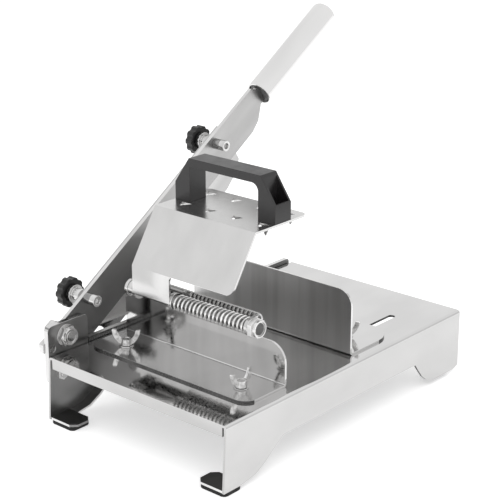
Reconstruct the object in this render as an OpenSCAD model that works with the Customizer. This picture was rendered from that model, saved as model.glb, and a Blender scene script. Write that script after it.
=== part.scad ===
// Frozen meat slicer: a bent steel table, a blade on a swinging arm, a fixed front guide,
// a sliding rear guide and a spring-fed pusher plate. Millimetres, +Z up, +X to the right
// along the front edge, +Y to the back. The origin is the middle of the base on the floor.

/* [Base] */
// Width of the table
base_w = 200; // [190:1:230]
// Depth of the table
base_d = 316; // [300:1:350]
// Height of the table's top
table_z = 60; // [55:1:80]
// Thickness of the table's sheet
base_t = 2; // [1.5:0.1:3]
// Outer radius of the table's bends
bend_r = 3; // [2.5:0.1:4]
// Depth of the front and rear lips
lip_h = 10; // [7:0.5:14]
// Length of the notch at each end of a lip
lip_notch = 4.2; // [3:0.1:6]
// Height of the arch between the legs
arch_z = 28; // [20:1:36]
// Distance from the table's end to the arch's straight top
arch_in = 68; // [62:1:88]
// Length of a front foot
foot_l = 21.4; // [18:0.2:26]
// Length of a rear foot
rear_foot_l = 31.5; // [24:0.5:34]
// How far the front feet stand out ahead
foot_out = 3; // [0:0.5:6]
// Width of the foot tabs
tab_w = 30; // [22:1:34]
// Height of the rubber pads
pad_h = 4; // [3:0.5:6]
// Width of the table's guide slots
slot_w = 6.6; // [6.4:0.1:8]
// Distance from the table's front edge to the guide slots
slot_front_in = 170; // [166:1:176]
// Distance from the guide slots to the table's rear edge
slot_rear_in = 50; // [38:1:60]

/* [Arm] */
// Distance from the table's front edge to the pivot axis
pivot_in = 19; // [14:1:24]
// Height of the pivot axis above the table
pivot_up = 14.5; // [12:0.5:20]
// Angle of the arm at rest
arm_angle = 33.3; // [28:0.1:40]
// Thickness of the arm
arm_t = 3.6; // [3:0.1:5]
// Distance from the pivot axis to the arm's upper edge
arm_up = 6; // [5.5:0.1:8]
// Distance from the pivot axis to the arm's lower edge
arm_down = 30; // [26:0.5:34]
// Length from the pivot to the end of the arm's full width
arm_l = 276; // [268:1:290]
// Length of the tongue inside the grip
tongue_in = 26; // [20:1:34]
// Width of the tongue
tongue_w = 17; // [14:0.5:18]
// Play between the arm and its neighbours
arm_gap = 0.5; // [0.3:0.1:1]
// Radius of the arm's round front end
arm_end_r = 8.7; // [8:0.1:9]

/* [Blade] */
// Thickness of the blade
blade_t = 2.2; // [1.8:0.1:3]
// Distance from the pivot axis to the cutting edge at the heel
blade_down = 51; // [46:0.5:56]
// Extra depth of the cutting edge at the tip
blade_drop = 2.5; // [0:0.5:5]
// Start of the blade along the arm
blade_s0 = 27; // [24:1:30]
// Length of arm beyond the blade's end
blade_end_in = 26; // [18:1:34]
// Height of the ground bevel
bevel_h = 9; // [6:0.5:12]
// Thickness left at the edge
edge_t = 0.4; // [0.3:0.1:0.8]

/* [Grip] */
// Outer diameter of the grip tube
grip_d = 25; // [20:0.5:26]
// Wall of the grip tube
grip_wall = 1.5; // [1.2:0.1:1.8]
// Length of the grip tube
grip_l = 118; // [90:1:140]
// Distance from the arm's taper to the grip's mouth
grip_gap = 4.5; // [3.5:0.5:12]
// Distance from the pivot axis down to the grip's axis
grip_down = 7.2; // [6.5:0.1:8]
// Rounding of the grip's closed end
grip_round = 5; // [3:0.5:8]

/* [Bracket] */
// Thickness of the pivot bracket
bracket_t = 5; // [4:0.2:6]
// Length of the pivot bracket
bracket_l = 45; // [42:1:52]
// How far the bracket reaches below the table
bracket_low = 26; // [24:1:30]
// How far the bracket stands above the table
bracket_up = 26; // [25:1:34]
// Radius of the bracket's corners
bracket_r = 5; // [3:0.5:8]
// Stop screw, distance from the pivot axis
stop_reach = 16.6; // [16.5:0.1:18]
// Stop screw, direction from the pivot axis
stop_dir = 212; // [205:1:216]

/* [Blade guide] */
// Thickness of the blade guide
shear_t = 4.5; // [3.5:0.1:4.8]
// How far the blade guide reaches below the table
shear_low = 10; // [9:0.5:14]
// How far the blade guide stands above the table
shear_up = 3.8; // [1:0.2:4.4]

/* [Front guide] */
// Thickness of the guides' sheet
guide_t = 2; // [1.6:0.1:2.4]
// Distance from the table's left edge to the front guide
fg_left_in = 8; // [6:1:10]
// Distance from the front guide to the table's right edge
fg_right_in = 12; // [8:1:16]
// Distance from the table's front edge to the front guide's wall
fg_in = 83; // [81:1:84]
// Depth of the front guide's foot
fg_foot = 46; // [43:1:53]
// Height of the low parts of the wall above the table
fg_low_h = 36; // [32:1:40]
// Height of the raised part of the wall above the table
fg_high_h = 56; // [54.5:0.5:62]
// Length of the low part at the wall's right end
fg_step_in = 25; // [22:0.5:26]
// Length of the low part at the wall's left end
ear_in = 15.5; // [10:0.5:17]
// Length of wall to the right of the right ear's left face
ear_edge = 5; // [4:0.5:6]
// Thickness of the ears
ear_t = 3; // [2.5:0.1:4]
// Radius of the ears' round ends
ear_r = 7.6; // [7:0.1:8]
// Distance from the front guide's wall to its wing nuts
fg_bolt_out = 26.5; // [23:0.5:29]
// Distance from the table's sides to the front wing nuts
fg_bolt_in = 35; // [30:0.5:40]

/* [Feed rod and spring] */
// Diameter of the feed rod
rod_d = 10; // [9:0.5:10]
// Distance from the front guide's wall to the rod's axis
rod_out = 8.5; // [8.4:0.1:9.5]
// Height of the rod's axis above the table
rod_up = 47.5; // [46:0.5:48]
// Outer diameter of the spring
spring_d = 14.6; // [14.4:0.1:15]
// Diameter of the spring's wire
wire_d = 1.9; // [1.6:0.1:2]
// Number of curls
curls = 18; // [14:1:20]

/* [Pusher] */
// Distance from the left ear to the pusher's left edge
push_in = 10; // [9:0.5:11.5]
// Width of the pusher
push_w = 112; // [108:0.5:119]
// Thickness of the pusher's sheet
push_t = 2; // [1.6:0.1:2.4]
// Distance from the rod's axis to the back of the tab
push_off = 5.6; // [5.5:0.1:6.5]
// Width of the tab
push_tab_w = 43; // [41:0.5:50]
// Height of the tab's bend above the rod's axis
push_fold_h = 23.5; // [21:0.5:26]
// Height of the flange's top above the rod's axis
push_h = 70; // [64:1:78]
// Distance from the rod's axis back to the upper fold
push_lean = 23.5; // [18:0.5:28]
// Depth of the flange
flange_d = 64; // [58:1:70]
// Number of barbs in a row
barbs = 4; // [2:1:5]
// Side radius of a barb's hole
barb_r = 6.2; // [5:0.2:6.6]
// Length of a barb
barb_l = 8; // [6:0.5:11]

/* [Handle] */
// Depth of the handle
handle_d = 20; // [18:0.5:26]
// Height of the handle
handle_h = 38.5; // [34:0.5:46]
// Height of the handle's shoulders
shoulder_h = 15.5; // [12:0.5:18]
// Slope of the shoulders in plan
shoulder_in = 16; // [12:0.5:20]
// Width of the handle's left leg
leg_l_w = 17; // [15:0.5:18]
// Width of the handle's right leg
leg_r_w = 18.5; // [16:0.5:20]
// Height of the handle's bar
bar_h = 7.5; // [6:0.5:10]
// Wall of the pocket in a shoulder
pocket_wall = 2; // [1.6:0.1:4]

/* [Rear guide] */
// Distance from the table's front edge to the rear guide's wall
rg_in = 167; // [162:1:172]
// Distance from the table's left edge to the rear guide
rg_left_in = 10; // [8:1:12]
// Distance from the rear guide to the table's right edge
rg_right_in = 11; // [8:1:16]
// Height of the rear guide's wall above the table
rg_h = 57.5; // [50:0.5:60]
// Depth of the rear guide's foot
rg_foot = 63.5; // [56:0.5:68]
// Radius of the corners of the rear guide's foot
rg_foot_r = 23; // [12:1:27]
// Radius of the rear guide's upper corner
rg_r = 14; // [10:1:18]
// Distance of the rear wing nuts behind the guide's front face
rg_bolt_in = 29.5; // [27:0.5:32]
// Distance from the table's sides to the rear wing nuts
rg_bolt_edge = 38; // [34:0.5:42]

/* [Knobs and fasteners] */
// Diameter of the star knobs
knob_d = 26.5; // [24:0.5:32]
// Thickness of the star knobs
knob_t = 7.4; // [7:0.2:10]
// Number of lobes on a star knob
lobes = 10; // [8:1:11]
// Place of the lower knob along the arm
knob_lo_s = 38.5; // [36:0.5:44]
// Length of arm beyond the upper knob
knob_end_in = 44; // [40:0.5:54]
// Distance from the pivot axis up to the lower knob's axis
knob_lo_t = 1.8; // [0:0.1:2.2]
// Distance from the pivot axis down to the upper knob's axis
knob_up_drop = 2.2; // [0:0.1:6]
// Span of a wing nut
wing_span = 24.5; // [22:0.5:28]
// Height of a wing nut
wing_h = 13.5; // [12:0.5:17]

/* [Hidden] */

// Colours
steel_c = [0.80, 0.80, 0.81];
dark_steel_c = [0.62, 0.62, 0.63];
blade_c = [0.72, 0.73, 0.74];
black_c = [0.12, 0.12, 0.12];
rubber_c = [0.08, 0.08, 0.08];

// Roundness of true curves, of the ends of hulls and of hexagons
round_fn = 48;
hex_fn = 6;
tri_fn = 3;
// Overrun of every cut, and sink of pieces that are fused
over = 1;
sink = 0.4;
// Running clearance of shafts, and clearance of screws in their holes
run_gap = 0.06;
hole_gap = 0.25;
// Clearance between pieces of different bodies
part_gap = 0.4;

// Screw sizes: shank, head and nut diameters across flats, and heights
m10_r = 5;
m10_af = 16;
m10_nut_h = 7;
m10_washer_r = 8.2;
m10_bolt_head_h = 6.4;
m6_cap_r = 5;
m6_cap_h = 6;
m6_socket_af = 5;
socket_depth = 3;
m6_r = 3;
m6_af = 10;
m6_nut_h = 5;
m6_head_r = 6.4;
m6_head_h = 3.2;
m4_r = 2;
m4_head_r = 3.8;
m4_head_h = 2;
m5_r = 2.5;
m5_head_r = 4.6;
m5_head_h = 2.8;
washer_t = 1.5;
// Lock nuts: share of hexagon, round collar with a recess, and depth of the thread's end
lock_hex_share = 0.6;
lock_collar_r = 7.3;
lock_recess_r = 6.1;
lock_recess = 1.2;
thread_end_in = 0.6;
flat_turn = 30;

// Base, worked out
half_w = base_w / 2;
half_d = base_d / 2;
rg_bolt_x = half_w - rg_bolt_edge;
slot_x = rg_bolt_x;
slot_y0 = -half_d + slot_front_in;
slot_y1 = half_d - slot_rear_in;
arch_half = half_d - arch_in;
leg_curve_shares = [[0.32, 0.11], [0.55, 0.36], [0.79, 0.72], [1, 1]];
rear_curve_shares = [[0, 1], [0.15, 0.76], [0.4, 0.4], [0.64, 0.18], [0.84, 0.06], [1, 0]];
rear_corner_l = 8.5;
rear_corner_h = 2.2;
leg_flange_w = 12;
leg_flange_dy = 1.1;
leg_flange_dz = 1.67;
lip_play = 0.2;
rear_tab_w = 18;
rear_tab_in = 6;
front_pad_in = 0.5;
rear_pad_in = 4.5;
tab_chamfer = 5;

// Arm stack along X, counted outwards from the left panel
pivot_y = -half_d + pivot_in;
pivot_z = table_z + pivot_up;
bracket_z0 = table_z - bracket_low;
bracket_z1 = table_z + bracket_up;
shear_z0 = table_z - shear_low;
bracket_x = -half_w - bracket_t;
arm_x = bracket_x - arm_gap;
blade_x = arm_x - arm_t;
flange_x = blade_x - blade_t;
flange_t = 10.2;
flange_disc_t = 2.5;
flange_r = 8.1;
flange_hub_r = 5.6;
knob_hub_t = 1.6;
knob_hub_r = 7;
knob_x = flange_x - flange_t - part_gap - knob_hub_t;
knob_wall = 2;
knob_up_s = arm_l - knob_end_in;
knob_places = [[knob_lo_s, knob_lo_t], [knob_up_s, -knob_up_drop]];
blade_s1 = arm_l - blade_end_in;
taper_l = 23;
grip_s0 = arm_l + taper_l + grip_gap;
collar_t = 7.5;
collar_r = 4.8;
clamp_head_x = arm_x + collar_t;
clamp_tip = knob_x - knob_t + knob_wall;
pivot_washer_r = 9.5;
pivot_nut_x = -half_w + washer_t;
pivot_tip_x = pivot_nut_x + m10_nut_h - thread_end_in;
pivot_head_x = blade_x - part_gap - washer_t;
stop_y = pivot_y + stop_reach * cos(stop_dir);
stop_z = pivot_z + stop_reach * sin(stop_dir);
stop_af = 13;
stop_head_h = 5.4;
bracket_y0 = -half_d;
bracket_y1 = -half_d + bracket_l;
bracket_screw_share = 0.6;
bracket_screw_z = bracket_z0 + (shear_z0 - bracket_z0) * bracket_screw_share;
bracket_screw_in = 10;

// Grip, worked out
grip_r = grip_d / 2;
grip_in_r = grip_r - grip_wall;
plug_in = 2;
plug_l = 34;
plug_play = 0.15;

// Guides, worked out
fg_x0 = -half_w + fg_left_in;
fg_x1 = half_w - fg_right_in;
fg_y = -half_d + fg_in;
fg_foot_y = fg_y - fg_foot;
fg_low_z = table_z + fg_low_h;
fg_high_z = table_z + fg_high_h;
fg_high_x1 = fg_x1 - fg_step_in;
ear_x0 = fg_x0 + ear_in;
ear_x1 = fg_high_x1 - ear_edge;
fg_bolt_x = half_w - fg_bolt_in;
fg_bolt_y = fg_y - fg_bolt_out;
rod_z = table_z + rod_up;
rg_x0 = -half_w + rg_left_in;
rg_x1 = half_w - rg_right_in;
rg_y = -half_d + rg_in;
rg_z = table_z + rg_h;
rod_r = rod_d / 2;
rod_y = fg_y - rod_out;
fg_corner_r = 16;
fg_foot_r = 12;
fg_step_r = 4;
fg_inner_r = 6;
bolt_head_t = 3;
bolt_head_r = 7.5;
guide_washer_r = 6;
guide_washer_t = 1;
wing_z = table_z + guide_t + guide_washer_t + part_gap;
wing_hub_r = 4.8;
wing_hub_top_r = 4.2;
wing_hub_h = 5.2;
wing_t = 2.4;
bolt_in_nut = 4.8;
bolt_up = wing_z - table_z + bolt_in_nut;
rod_x0 = ear_x0 - part_gap;
rod_x1 = ear_x1 + ear_t + washer_t + m10_nut_h - thread_end_in;
stop_nut_r = 7;
thrust_t = 1;
push_x0 = ear_x0 + push_in;
push_x1 = push_x0 + push_w;
stop_nut_x = ear_x0 + ear_t;
thrust_gap = 0.3;
thrust_x = push_x0 - thrust_gap - thrust_t;
stop_nut_h = thrust_x - stop_nut_x;
thrust_r = 7.4;

// Pusher, worked out
push_ear_t = 2;
push_ear_x = push_x0 + push_tab_w - push_ear_t;
seat_t = 1.5;
push_bottom = -0.5;
push_corner_r = 6;
push_inner_r = 4;
push_slope_play = 0.3;
barb_pitch = 29;
barb_first = 16.5;
barb_shift = 3.4;
barb_front_in = 16.5;
barb_back_in = 52;
barb_t = 1.6;
barb_w = 8.5;
handle_in = 22.7;
handle_top_z = rod_z + push_h;
pocket_floor = 10;
handle_win_r = 7;
handle_screw_deep = 8;

// Spring, worked out
spring_x0 = push_ear_x + push_ear_t + seat_t;
spring_x1 = ear_x1;
coil_r = (spring_d - wire_d) / 2;
wire_r = wire_d / 2;
rings_per_curl = 8;
wire_sides = 6;
end_straight = wire_d;

// Shared shapes

// Extrudes a (Y, Z) outline from x0 to x1
module along_x(x0, x1) {
    translate([x0, 0, 0])
        rotate([90, 0, 90])
            linear_extrude(height = x1 - x0)
                children();
}

// Extrudes an (X, Z) outline from y0 to y1
module along_y(y0, y1) {
    translate([0, y1, 0])
        rotate([90, 0, 0])
            linear_extrude(height = y1 - y0)
                children();
}

// Extrudes an (X, Y) outline from z0 to z1
module along_z(z0, z1) {
    translate([0, 0, z0])
        linear_extrude(height = z1 - z0)
            children();
}

// Round bar along X
module bar_x(x0, x1, y, z, r) {
    translate([x0, y, z])
        rotate([0, 90, 0])
            cylinder(h = x1 - x0, r = r, $fn = round_fn);
}

// Hexagon along X, two flats facing front and back unless it is turned
module hex_x(x0, x1, y, z, af, turn = 0) {
    translate([x0, y, z])
        rotate([0, 90, 0])
            rotate([0, 0, turn])
                cylinder(h = x1 - x0, r = af / sqrt(3), $fn = hex_fn);
}

// Lock nut along X: a hexagon from x on, then a round collar with a recess round the thread
module lock_nut(x, y, z, r, turn) {
    x_mid = x + m10_nut_h * lock_hex_share;
    x_end = x + m10_nut_h;
    difference() {
        union() {
            hex_x(x, x_mid, y, z, m10_af, turn);
            bar_x(x_mid - sink, x_end, y, z, lock_collar_r);
        }
        bar_x(x - over, x_end + over, y, z, r + run_gap);
        bar_x(x_end - lock_recess, x_end + over, y, z, lock_recess_r);
    }
}

// Rectangle from corner to corner
module rect(a, b) {
    translate(a)
        square([b[0] - a[0], b[1] - a[1]]);
}

// Rectangle with a radius for each corner: low left, low right, high right, high left
module round_rect(a, b, r1, r2, r3, r4) {
    difference() {
        rect(a, b);
        corner_cut([a[0], a[1]], [1, 1], r1);
        corner_cut([b[0], a[1]], [-1, 1], r2);
        corner_cut([b[0], b[1]], [-1, -1], r3);
        corner_cut([a[0], b[1]], [1, -1], r4);
    }
}

// What a rounded corner removes: p is the corner, d points into the sheet
module corner_cut(p, d, r) {
    if (r > 0) {
        difference() {
            translate([p[0] + d[0] * (r - over) / 2, p[1] + d[1] * (r - over) / 2])
                square([r + over, r + over], center = true);
            translate([p[0] + d[0] * r, p[1] + d[1] * r])
                circle(r = r, $fn = round_fn);
        }
    }
}

// Puts children into the arm's own frame: Y runs along the arm, Z across it
module on_arm() {
    translate([0, pivot_y, pivot_z])
        rotate([arm_angle, 0, 0])
            children();
}

// Base

// Side outline of the table and its legs in (Y, Z)
function leg_curve(y0, y1, z0, z1, shares) =
    [for (s = shares) [y0 + (y1 - y0) * s[0], z0 + (z1 - z0) * s[1]]];

function side_outline() = concat(
    [[-half_d, table_z], [-half_d - foot_out, pad_h], [-half_d - foot_out + foot_l, pad_h]],
    leg_curve(-half_d - foot_out + foot_l, -arch_half, pad_h, arch_z, leg_curve_shares),
    leg_curve(arch_half, half_d - rear_corner_l - rear_foot_l, pad_h, arch_z, rear_curve_shares),
    [[half_d - rear_corner_l, pad_h], [half_d, pad_h + rear_corner_h], [half_d, table_z]]
);

module base_plate() {
    color(steel_c)
        difference() {
            union() {
                intersection() {
                    along_y(-half_d - foot_out - over, half_d + over)
                        sheet_channel();
                    along_x(-half_w - over, half_w + over)
                        polygon(side_outline());
                }
                for (side = [-1, 1]) {
                    lip(side);
                    leg_flange(side);
                    foot_tab(side, front_tab_y, front_tab_l, tab_w);
                    foot_tab(side, rear_tab_y, rear_tab_l, rear_tab_w);
                }
            }
            for (side = [-1, 1]) {
                slot_cut(side * slot_x);
                bolt_hole(side * fg_bolt_x, fg_bolt_y);
            }
            for (y = bracket_screw_ys()) {
                bar_x(-half_w - over, -half_w + base_t + over, y, bracket_screw_z, m6_r + hole_gap);
            }
            for (y = shear_screw_ys()) {
                bar_x(-half_w - over, -half_w + base_t + over, y, shear_screw_z, m4_r + hole_gap);
            }
        }
}

foot_tab_in = 0.6;
front_tab_l = 21.4;
front_tab_y = -half_d - foot_out + foot_tab_in;
rear_tab_y = half_d - rear_corner_l - rear_foot_l + rear_tab_in;
rear_tab_l = rear_foot_l - rear_tab_in - foot_tab_in;

// Inverted channel with bent edges, in (X, Z)
module sheet_channel() {
    difference() {
        round_rect([-half_w, pad_h], [half_w, table_z], 0, 0, bend_r, bend_r);
        round_rect([-half_w + base_t, pad_h - over], [half_w - base_t, table_z - base_t],
            0, 0, bend_r - base_t, bend_r - base_t);
    }
}

// Front or rear lip, bent down between the notches
module lip(side) {
    y_out = side * half_d;
    y_in = side * (half_d - base_t);
    along_x(-half_w + lip_notch, half_w - lip_notch)
        rect([min(y_out, y_in), table_z - lip_h], [max(y_out, y_in), table_z]);
}

// Narrow flange bent inwards along the curved rear edge of a front leg
module leg_flange(side) {
    x_in = side * (half_w - leg_flange_w);
    x_out = side * (half_w - base_t / 2);
    start = [[-half_d - foot_out + foot_l - base_t, pad_h], [-half_d - foot_out + foot_l, pad_h]];
    curve = concat(start,
        leg_curve(-half_d - foot_out + foot_l, -arch_half, pad_h, arch_z, leg_curve_shares));
    last = len(curve) - 1;
    back = [for (i = [last : -1 : 0]) curve[i] + [-leg_flange_dy, leg_flange_dz]];
    along_x(min(x_in, x_out), max(x_in, x_out))
        polygon(concat(curve, back));
}

// Foot tabs at both sides, bent inwards, with a chamfered inner corner
module foot_tab(side, y, l, w) {
    along_z(pad_h, pad_h + base_t)
        polygon([
            [side * half_w, y], [side * half_w, y + l], [side * (half_w - w + tab_chamfer), y + l],
            [side * (half_w - w), y + l - tab_chamfer], [side * (half_w - w), y + tab_chamfer],
            [side * (half_w - w + tab_chamfer), y]
        ]);
}

module slot_cut(x) {
    along_z(table_z - base_t - over, table_z + over)
        union() {
            rect([x - slot_w / 2, slot_y0 + slot_w / 2], [x + slot_w / 2, slot_y1 - slot_w / 2]);
            for (y = [slot_y0 + slot_w / 2, slot_y1 - slot_w / 2]) {
                translate([x, y])
                    circle(r = slot_w / 2, $fn = round_fn);
            }
        }
}

module bolt_hole(x, y) {
    translate([x, y, table_z - base_t - over])
        cylinder(h = base_t + guide_t + over * 2, r = m6_r + hole_gap, $fn = round_fn);
}

module foot_pads() {
    color(rubber_c)
        for (side = [-1, 1]) {
            pad(side, front_tab_y, front_tab_l, tab_w, front_pad_in);
            pad(side, rear_tab_y, rear_tab_l, rear_tab_w, rear_pad_in);
        }
}

// Pad under a tab of length l and width w, set back from the leg's outer face
module pad(side, y, l, w, inset) {
    x_out = side * (half_w - inset);
    x_in = side * (half_w - w + base_t);
    along_z(0, pad_h)
        round_rect([min(x_out, x_in), y + foot_tab_in], [max(x_out, x_in), y + l],
            pad_r, pad_r, pad_r, pad_r);
}

pad_r = 4.5;

// Pivot bracket

function bracket_screw_ys() = [bracket_y0 + bracket_screw_in, bracket_y1 - bracket_screw_in];

module pivot_bracket() {
    color(dark_steel_c)
        difference() {
            along_x(bracket_x, -half_w)
                round_rect([bracket_y0, bracket_z0], [bracket_y1, bracket_z1],
                    bracket_r, bracket_r, bracket_r, bracket_r);
            bar_x(bracket_x - over, -half_w + over, pivot_y, pivot_z, m10_r + hole_gap);
            bar_x(bracket_x - over, -half_w + over, stop_y, stop_z, m6_r + hole_gap);
            for (y = bracket_screw_ys()) {
                bar_x(bracket_x - over, -half_w + over, y, bracket_screw_z, m6_r + hole_gap);
                translate([bracket_x, y, bracket_screw_z])
                    rotate([0, 90, 0])
                        cylinder(h = m6_head_h, r1 = m6_head_r + hole_gap, r2 = m6_r + hole_gap,
                            $fn = round_fn);
            }
        }
}

module bracket_screws() {
    color(steel_c)
        for (y = bracket_screw_ys()) {
            bar_x(bracket_x + m6_head_h, -half_w + base_t + m6_nut_h + over, y, bracket_screw_z, m6_r);
            translate([bracket_x, y, bracket_screw_z])
                rotate([0, 90, 0])
                    cylinder(h = m6_head_h, r1 = m6_head_r, r2 = m6_r, $fn = round_fn);
        }
}

module bracket_nuts() {
    color(steel_c)
        for (y = bracket_screw_ys()) {
            difference() {
                hex_x(-half_w + base_t, -half_w + base_t + m6_nut_h, y, bracket_screw_z, m6_af);
                bar_x(-half_w, half_w, y, bracket_screw_z, m6_r + run_gap);
            }
        }
}

// Pivot

// Socket head screw along X: shank to the left, head from x to the right
module socket_screw(x_tip, x, y, z, r, head_r, head_h, af) {
    difference() {
        union() {
            bar_x(x_tip, x + sink, y, z, r);
            bar_x(x, x + head_h, y, z, head_r);
        }
        hex_x(x + head_h - socket_depth, x + head_h + over, y, z, af);
    }
}

// Ring along X
module ring_x(x0, x1, y, z, r_out, r_in) {
    difference() {
        bar_x(x0, x1, y, z, r_out);
        bar_x(x0 - over, x1 + over, y, z, r_in);
    }
}

// Hexagon head on the blade's side, thread through arm and bracket
module pivot_screw() {
    color(steel_c)
        union() {
            hex_x(pivot_head_x - m10_bolt_head_h, pivot_head_x, pivot_y, pivot_z, m10_af);
            bar_x(pivot_head_x - sink, pivot_tip_x, pivot_y, pivot_z, m10_r);
        }
}

// A washer under the nut, a thin one beside the arm and one under the head
module pivot_spacers() {
    color(steel_c) {
        ring_x(-half_w, pivot_nut_x, pivot_y, pivot_z, pivot_washer_r, m10_r + hole_gap);
        ring_x(arm_x + arm_play, bracket_x, pivot_y, pivot_z, arm_end_r, m10_r + hole_gap);
        ring_x(pivot_head_x, pivot_head_x + washer_t, pivot_y, pivot_z, m10_washer_r,
            m10_r + hole_gap);
    }
}

arm_play = 0.1;

module pivot_nut() {
    color(steel_c)
        lock_nut(pivot_nut_x, pivot_y, pivot_z, m10_r, flat_turn);
}

module arm_stop_screw() {
    color(steel_c)
        union() {
            bar_x(bracket_x - sink, -half_w - over, stop_y, stop_z, m6_r);
            hex_x(bracket_x - stop_head_h, bracket_x, stop_y, stop_z, stop_af);
        }
}

// Blade guide

shear_screw_z = (shear_z0 + table_z - bend_r) / 2;
shear_play = 0.5;
shear_screw_in = 15;

function shear_y0() = bracket_y1 + shear_play;
function shear_y1() = half_d - base_t;
function shear_screw_ys() = [
    shear_y0() + shear_screw_in, (shear_y0() + shear_y1()) / 2, shear_y1() - shear_screw_in
];

module blade_guide() {
    color(steel_c)
        difference() {
            along_x(-half_w - shear_t, -half_w)
                round_rect([shear_y0(), shear_z0], [shear_y1(), table_z + shear_up],
                    0, shear_r, shear_r, 0);
            for (y = shear_screw_ys()) {
                bar_x(-half_w - shear_t - over, -half_w + over, y, shear_screw_z, m4_r + hole_gap);
                translate([-half_w - shear_t, y, shear_screw_z])
                    rotate([0, 90, 0])
                        cylinder(h = m4_head_h, r1 = m4_head_r + hole_gap, r2 = m4_r + hole_gap,
                            $fn = round_fn);
            }
        }
}

shear_r = 3;

module blade_guide_screws() {
    color(steel_c)
        for (y = shear_screw_ys()) {
            bar_x(-half_w - shear_t + m4_head_h, -half_w + base_t + over, y, shear_screw_z, m4_r);
            translate([-half_w - shear_t, y, shear_screw_z])
                rotate([0, 90, 0])
                    cylinder(h = m4_head_h, r1 = m4_head_r, r2 = m4_r, $fn = round_fn);
        }
}

// Front guide

module front_guide() {
    color(dark_steel_c)
        difference() {
            union() {
                along_z(table_z, table_z + guide_t)
                    round_rect([fg_x0, fg_foot_y], [fg_x1, fg_y + guide_t],
                        fg_foot_r, fg_foot_r, 0, 0);
                along_y(fg_y, fg_y + guide_t)
                    front_wall();
                ear(ear_x0);
                ear(ear_x1);
            }
            bar_x(ear_x0 - over, ear_x0 + ear_t + over, rod_y, rod_z, rod_r + run_gap);
            bar_x(ear_x1 - over, ear_x1 + ear_t + over, rod_y, rod_z, rod_r + run_gap);
            for (side = [-1, 1]) {
                bolt_hole(side * fg_bolt_x, fg_bolt_y);
            }
        }
}

// Wall with its raised middle, in (X, Z)
module front_wall() {
    union() {
        round_rect([fg_x0, table_z], [fg_x1, fg_low_z], 0, 0, fg_corner_r, fg_inner_r);
        round_rect([ear_x0, table_z], [fg_high_x1, fg_high_z], 0, 0, fg_step_r, 0);
    }
}

// Ear bent forwards from the end of the raised part
module ear(x) {
    along_x(x, x + ear_t)
        union() {
            translate([rod_y, rod_z])
                circle(r = ear_r, $fn = round_fn);
            rect([rod_y, rod_z - ear_r], [fg_y + sink, min(rod_z + ear_r, fg_high_z)]);
        }
}

// Bolt standing up through the table, with a flat round head below
module guide_bolt(x, y) {
    translate([x, y, table_z - base_t - bolt_head_t])
        cylinder(h = bolt_head_t, r = bolt_head_r, $fn = round_fn);
    translate([x, y, table_z - base_t - sink])
        cylinder(h = base_t + bolt_up + sink, r = m6_r, $fn = round_fn);
}

module guide_washer(x, y) {
    difference() {
        translate([x, y, table_z + guide_t])
            cylinder(h = guide_washer_t, r = guide_washer_r, $fn = round_fn);
        translate([x, y, table_z])
            cylinder(h = wing_h, r = m6_r + hole_gap, $fn = round_fn);
    }
}

module front_guide_bolts() {
    color(steel_c)
        for (side = [-1, 1]) {
            guide_bolt(side * fg_bolt_x, fg_bolt_y);
        }
}

module front_guide_washers() {
    color(steel_c)
        for (side = [-1, 1]) {
            guide_washer(side * fg_bolt_x, fg_bolt_y);
        }
}

// Wing nut on a bolt at (x, y), its wings turned by the angle
module wing_nut(x, y, angle) {
    color(steel_c)
        translate([x, y, wing_z])
            rotate([0, 0, angle])
                difference() {
                    union() {
                        cylinder(h = wing_hub_h, r1 = wing_hub_r, r2 = wing_hub_top_r,
                            $fn = round_fn);
                        for (turn = [0, 180]) {
                            rotate([0, 0, turn])
                                wing();
                        }
                    }
                    translate([0, 0, -over])
                        cylinder(h = wing_h, r = m6_r + run_gap, $fn = round_fn);
                }
}

// Horn of a wing nut in shares of half the span and of the height, outer side first
wing_x_shares = [0.3, 0.55, 0.8, 0.95, 1, 0.94, 0.7, 0.64, 0.52, 0.38, 0.28];
wing_z_shares = [0.02, 0.12, 0.4, 0.72, 0.95, 1, 0.98, 0.78, 0.56, 0.42, 0.36];

// One horn, rising outwards from the hub
module wing() {
    along_y(-wing_t / 2, wing_t / 2)
        polygon([
            for (i = [0 : len(wing_x_shares) - 1])
                [wing_x_shares[i] * wing_span / 2, wing_z_shares[i] * wing_h]
        ]);
}

module wing_nut_front_left() {
    wing_nut(-fg_bolt_x, fg_bolt_y, wing_angle_fl);
}

module wing_nut_front_right() {
    wing_nut(fg_bolt_x, fg_bolt_y, wing_angle_fr);
}

module wing_nut_rear_left() {
    wing_nut(-rg_bolt_x, rg_y + rg_bolt_in, wing_angle_rl);
}

module wing_nut_rear_right() {
    wing_nut(rg_bolt_x, rg_y + rg_bolt_in, wing_angle_rr);
}

wing_angle_fl = 34;
wing_angle_fr = 90;
wing_angle_rl = 20;
wing_angle_rr = 16;

// Feed rod and spring

module feed_rod() {
    color(steel_c)
        bar_x(rod_x0, rod_x1, rod_y, rod_z, rod_r);
}

// Round nut between the left ear and the pusher
module rod_stop_nut() {
    color(steel_c)
        ring_x(stop_nut_x, stop_nut_x + stop_nut_h, rod_y, rod_z, stop_nut_r, rod_r + run_gap);
}

module rod_washer() {
    color(steel_c)
        ring_x(ear_x1 + ear_t, ear_x1 + ear_t + washer_t, rod_y, rod_z, m10_washer_r,
            rod_r + run_gap);
}

module rod_lock_nut() {
    color(steel_c)
        lock_nut(ear_x1 + ear_t + washer_t, rod_y, rod_z, rod_r, 0);
}

// Centre line of the spring's wire: a straight end, the curls, a straight end
coil_x0 = spring_x0 + end_straight;
coil_x1 = spring_x1 - end_straight;
coil_steps = curls * rings_per_curl;
coil_pitch = (coil_x1 - coil_x0) / curls;

function coil_point(i) =
    let (a = 360 * i / rings_per_curl)
    [coil_x0 + (coil_x1 - coil_x0) * i / coil_steps, rod_y + coil_r * cos(a), rod_z + coil_r * sin(a)];

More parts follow.
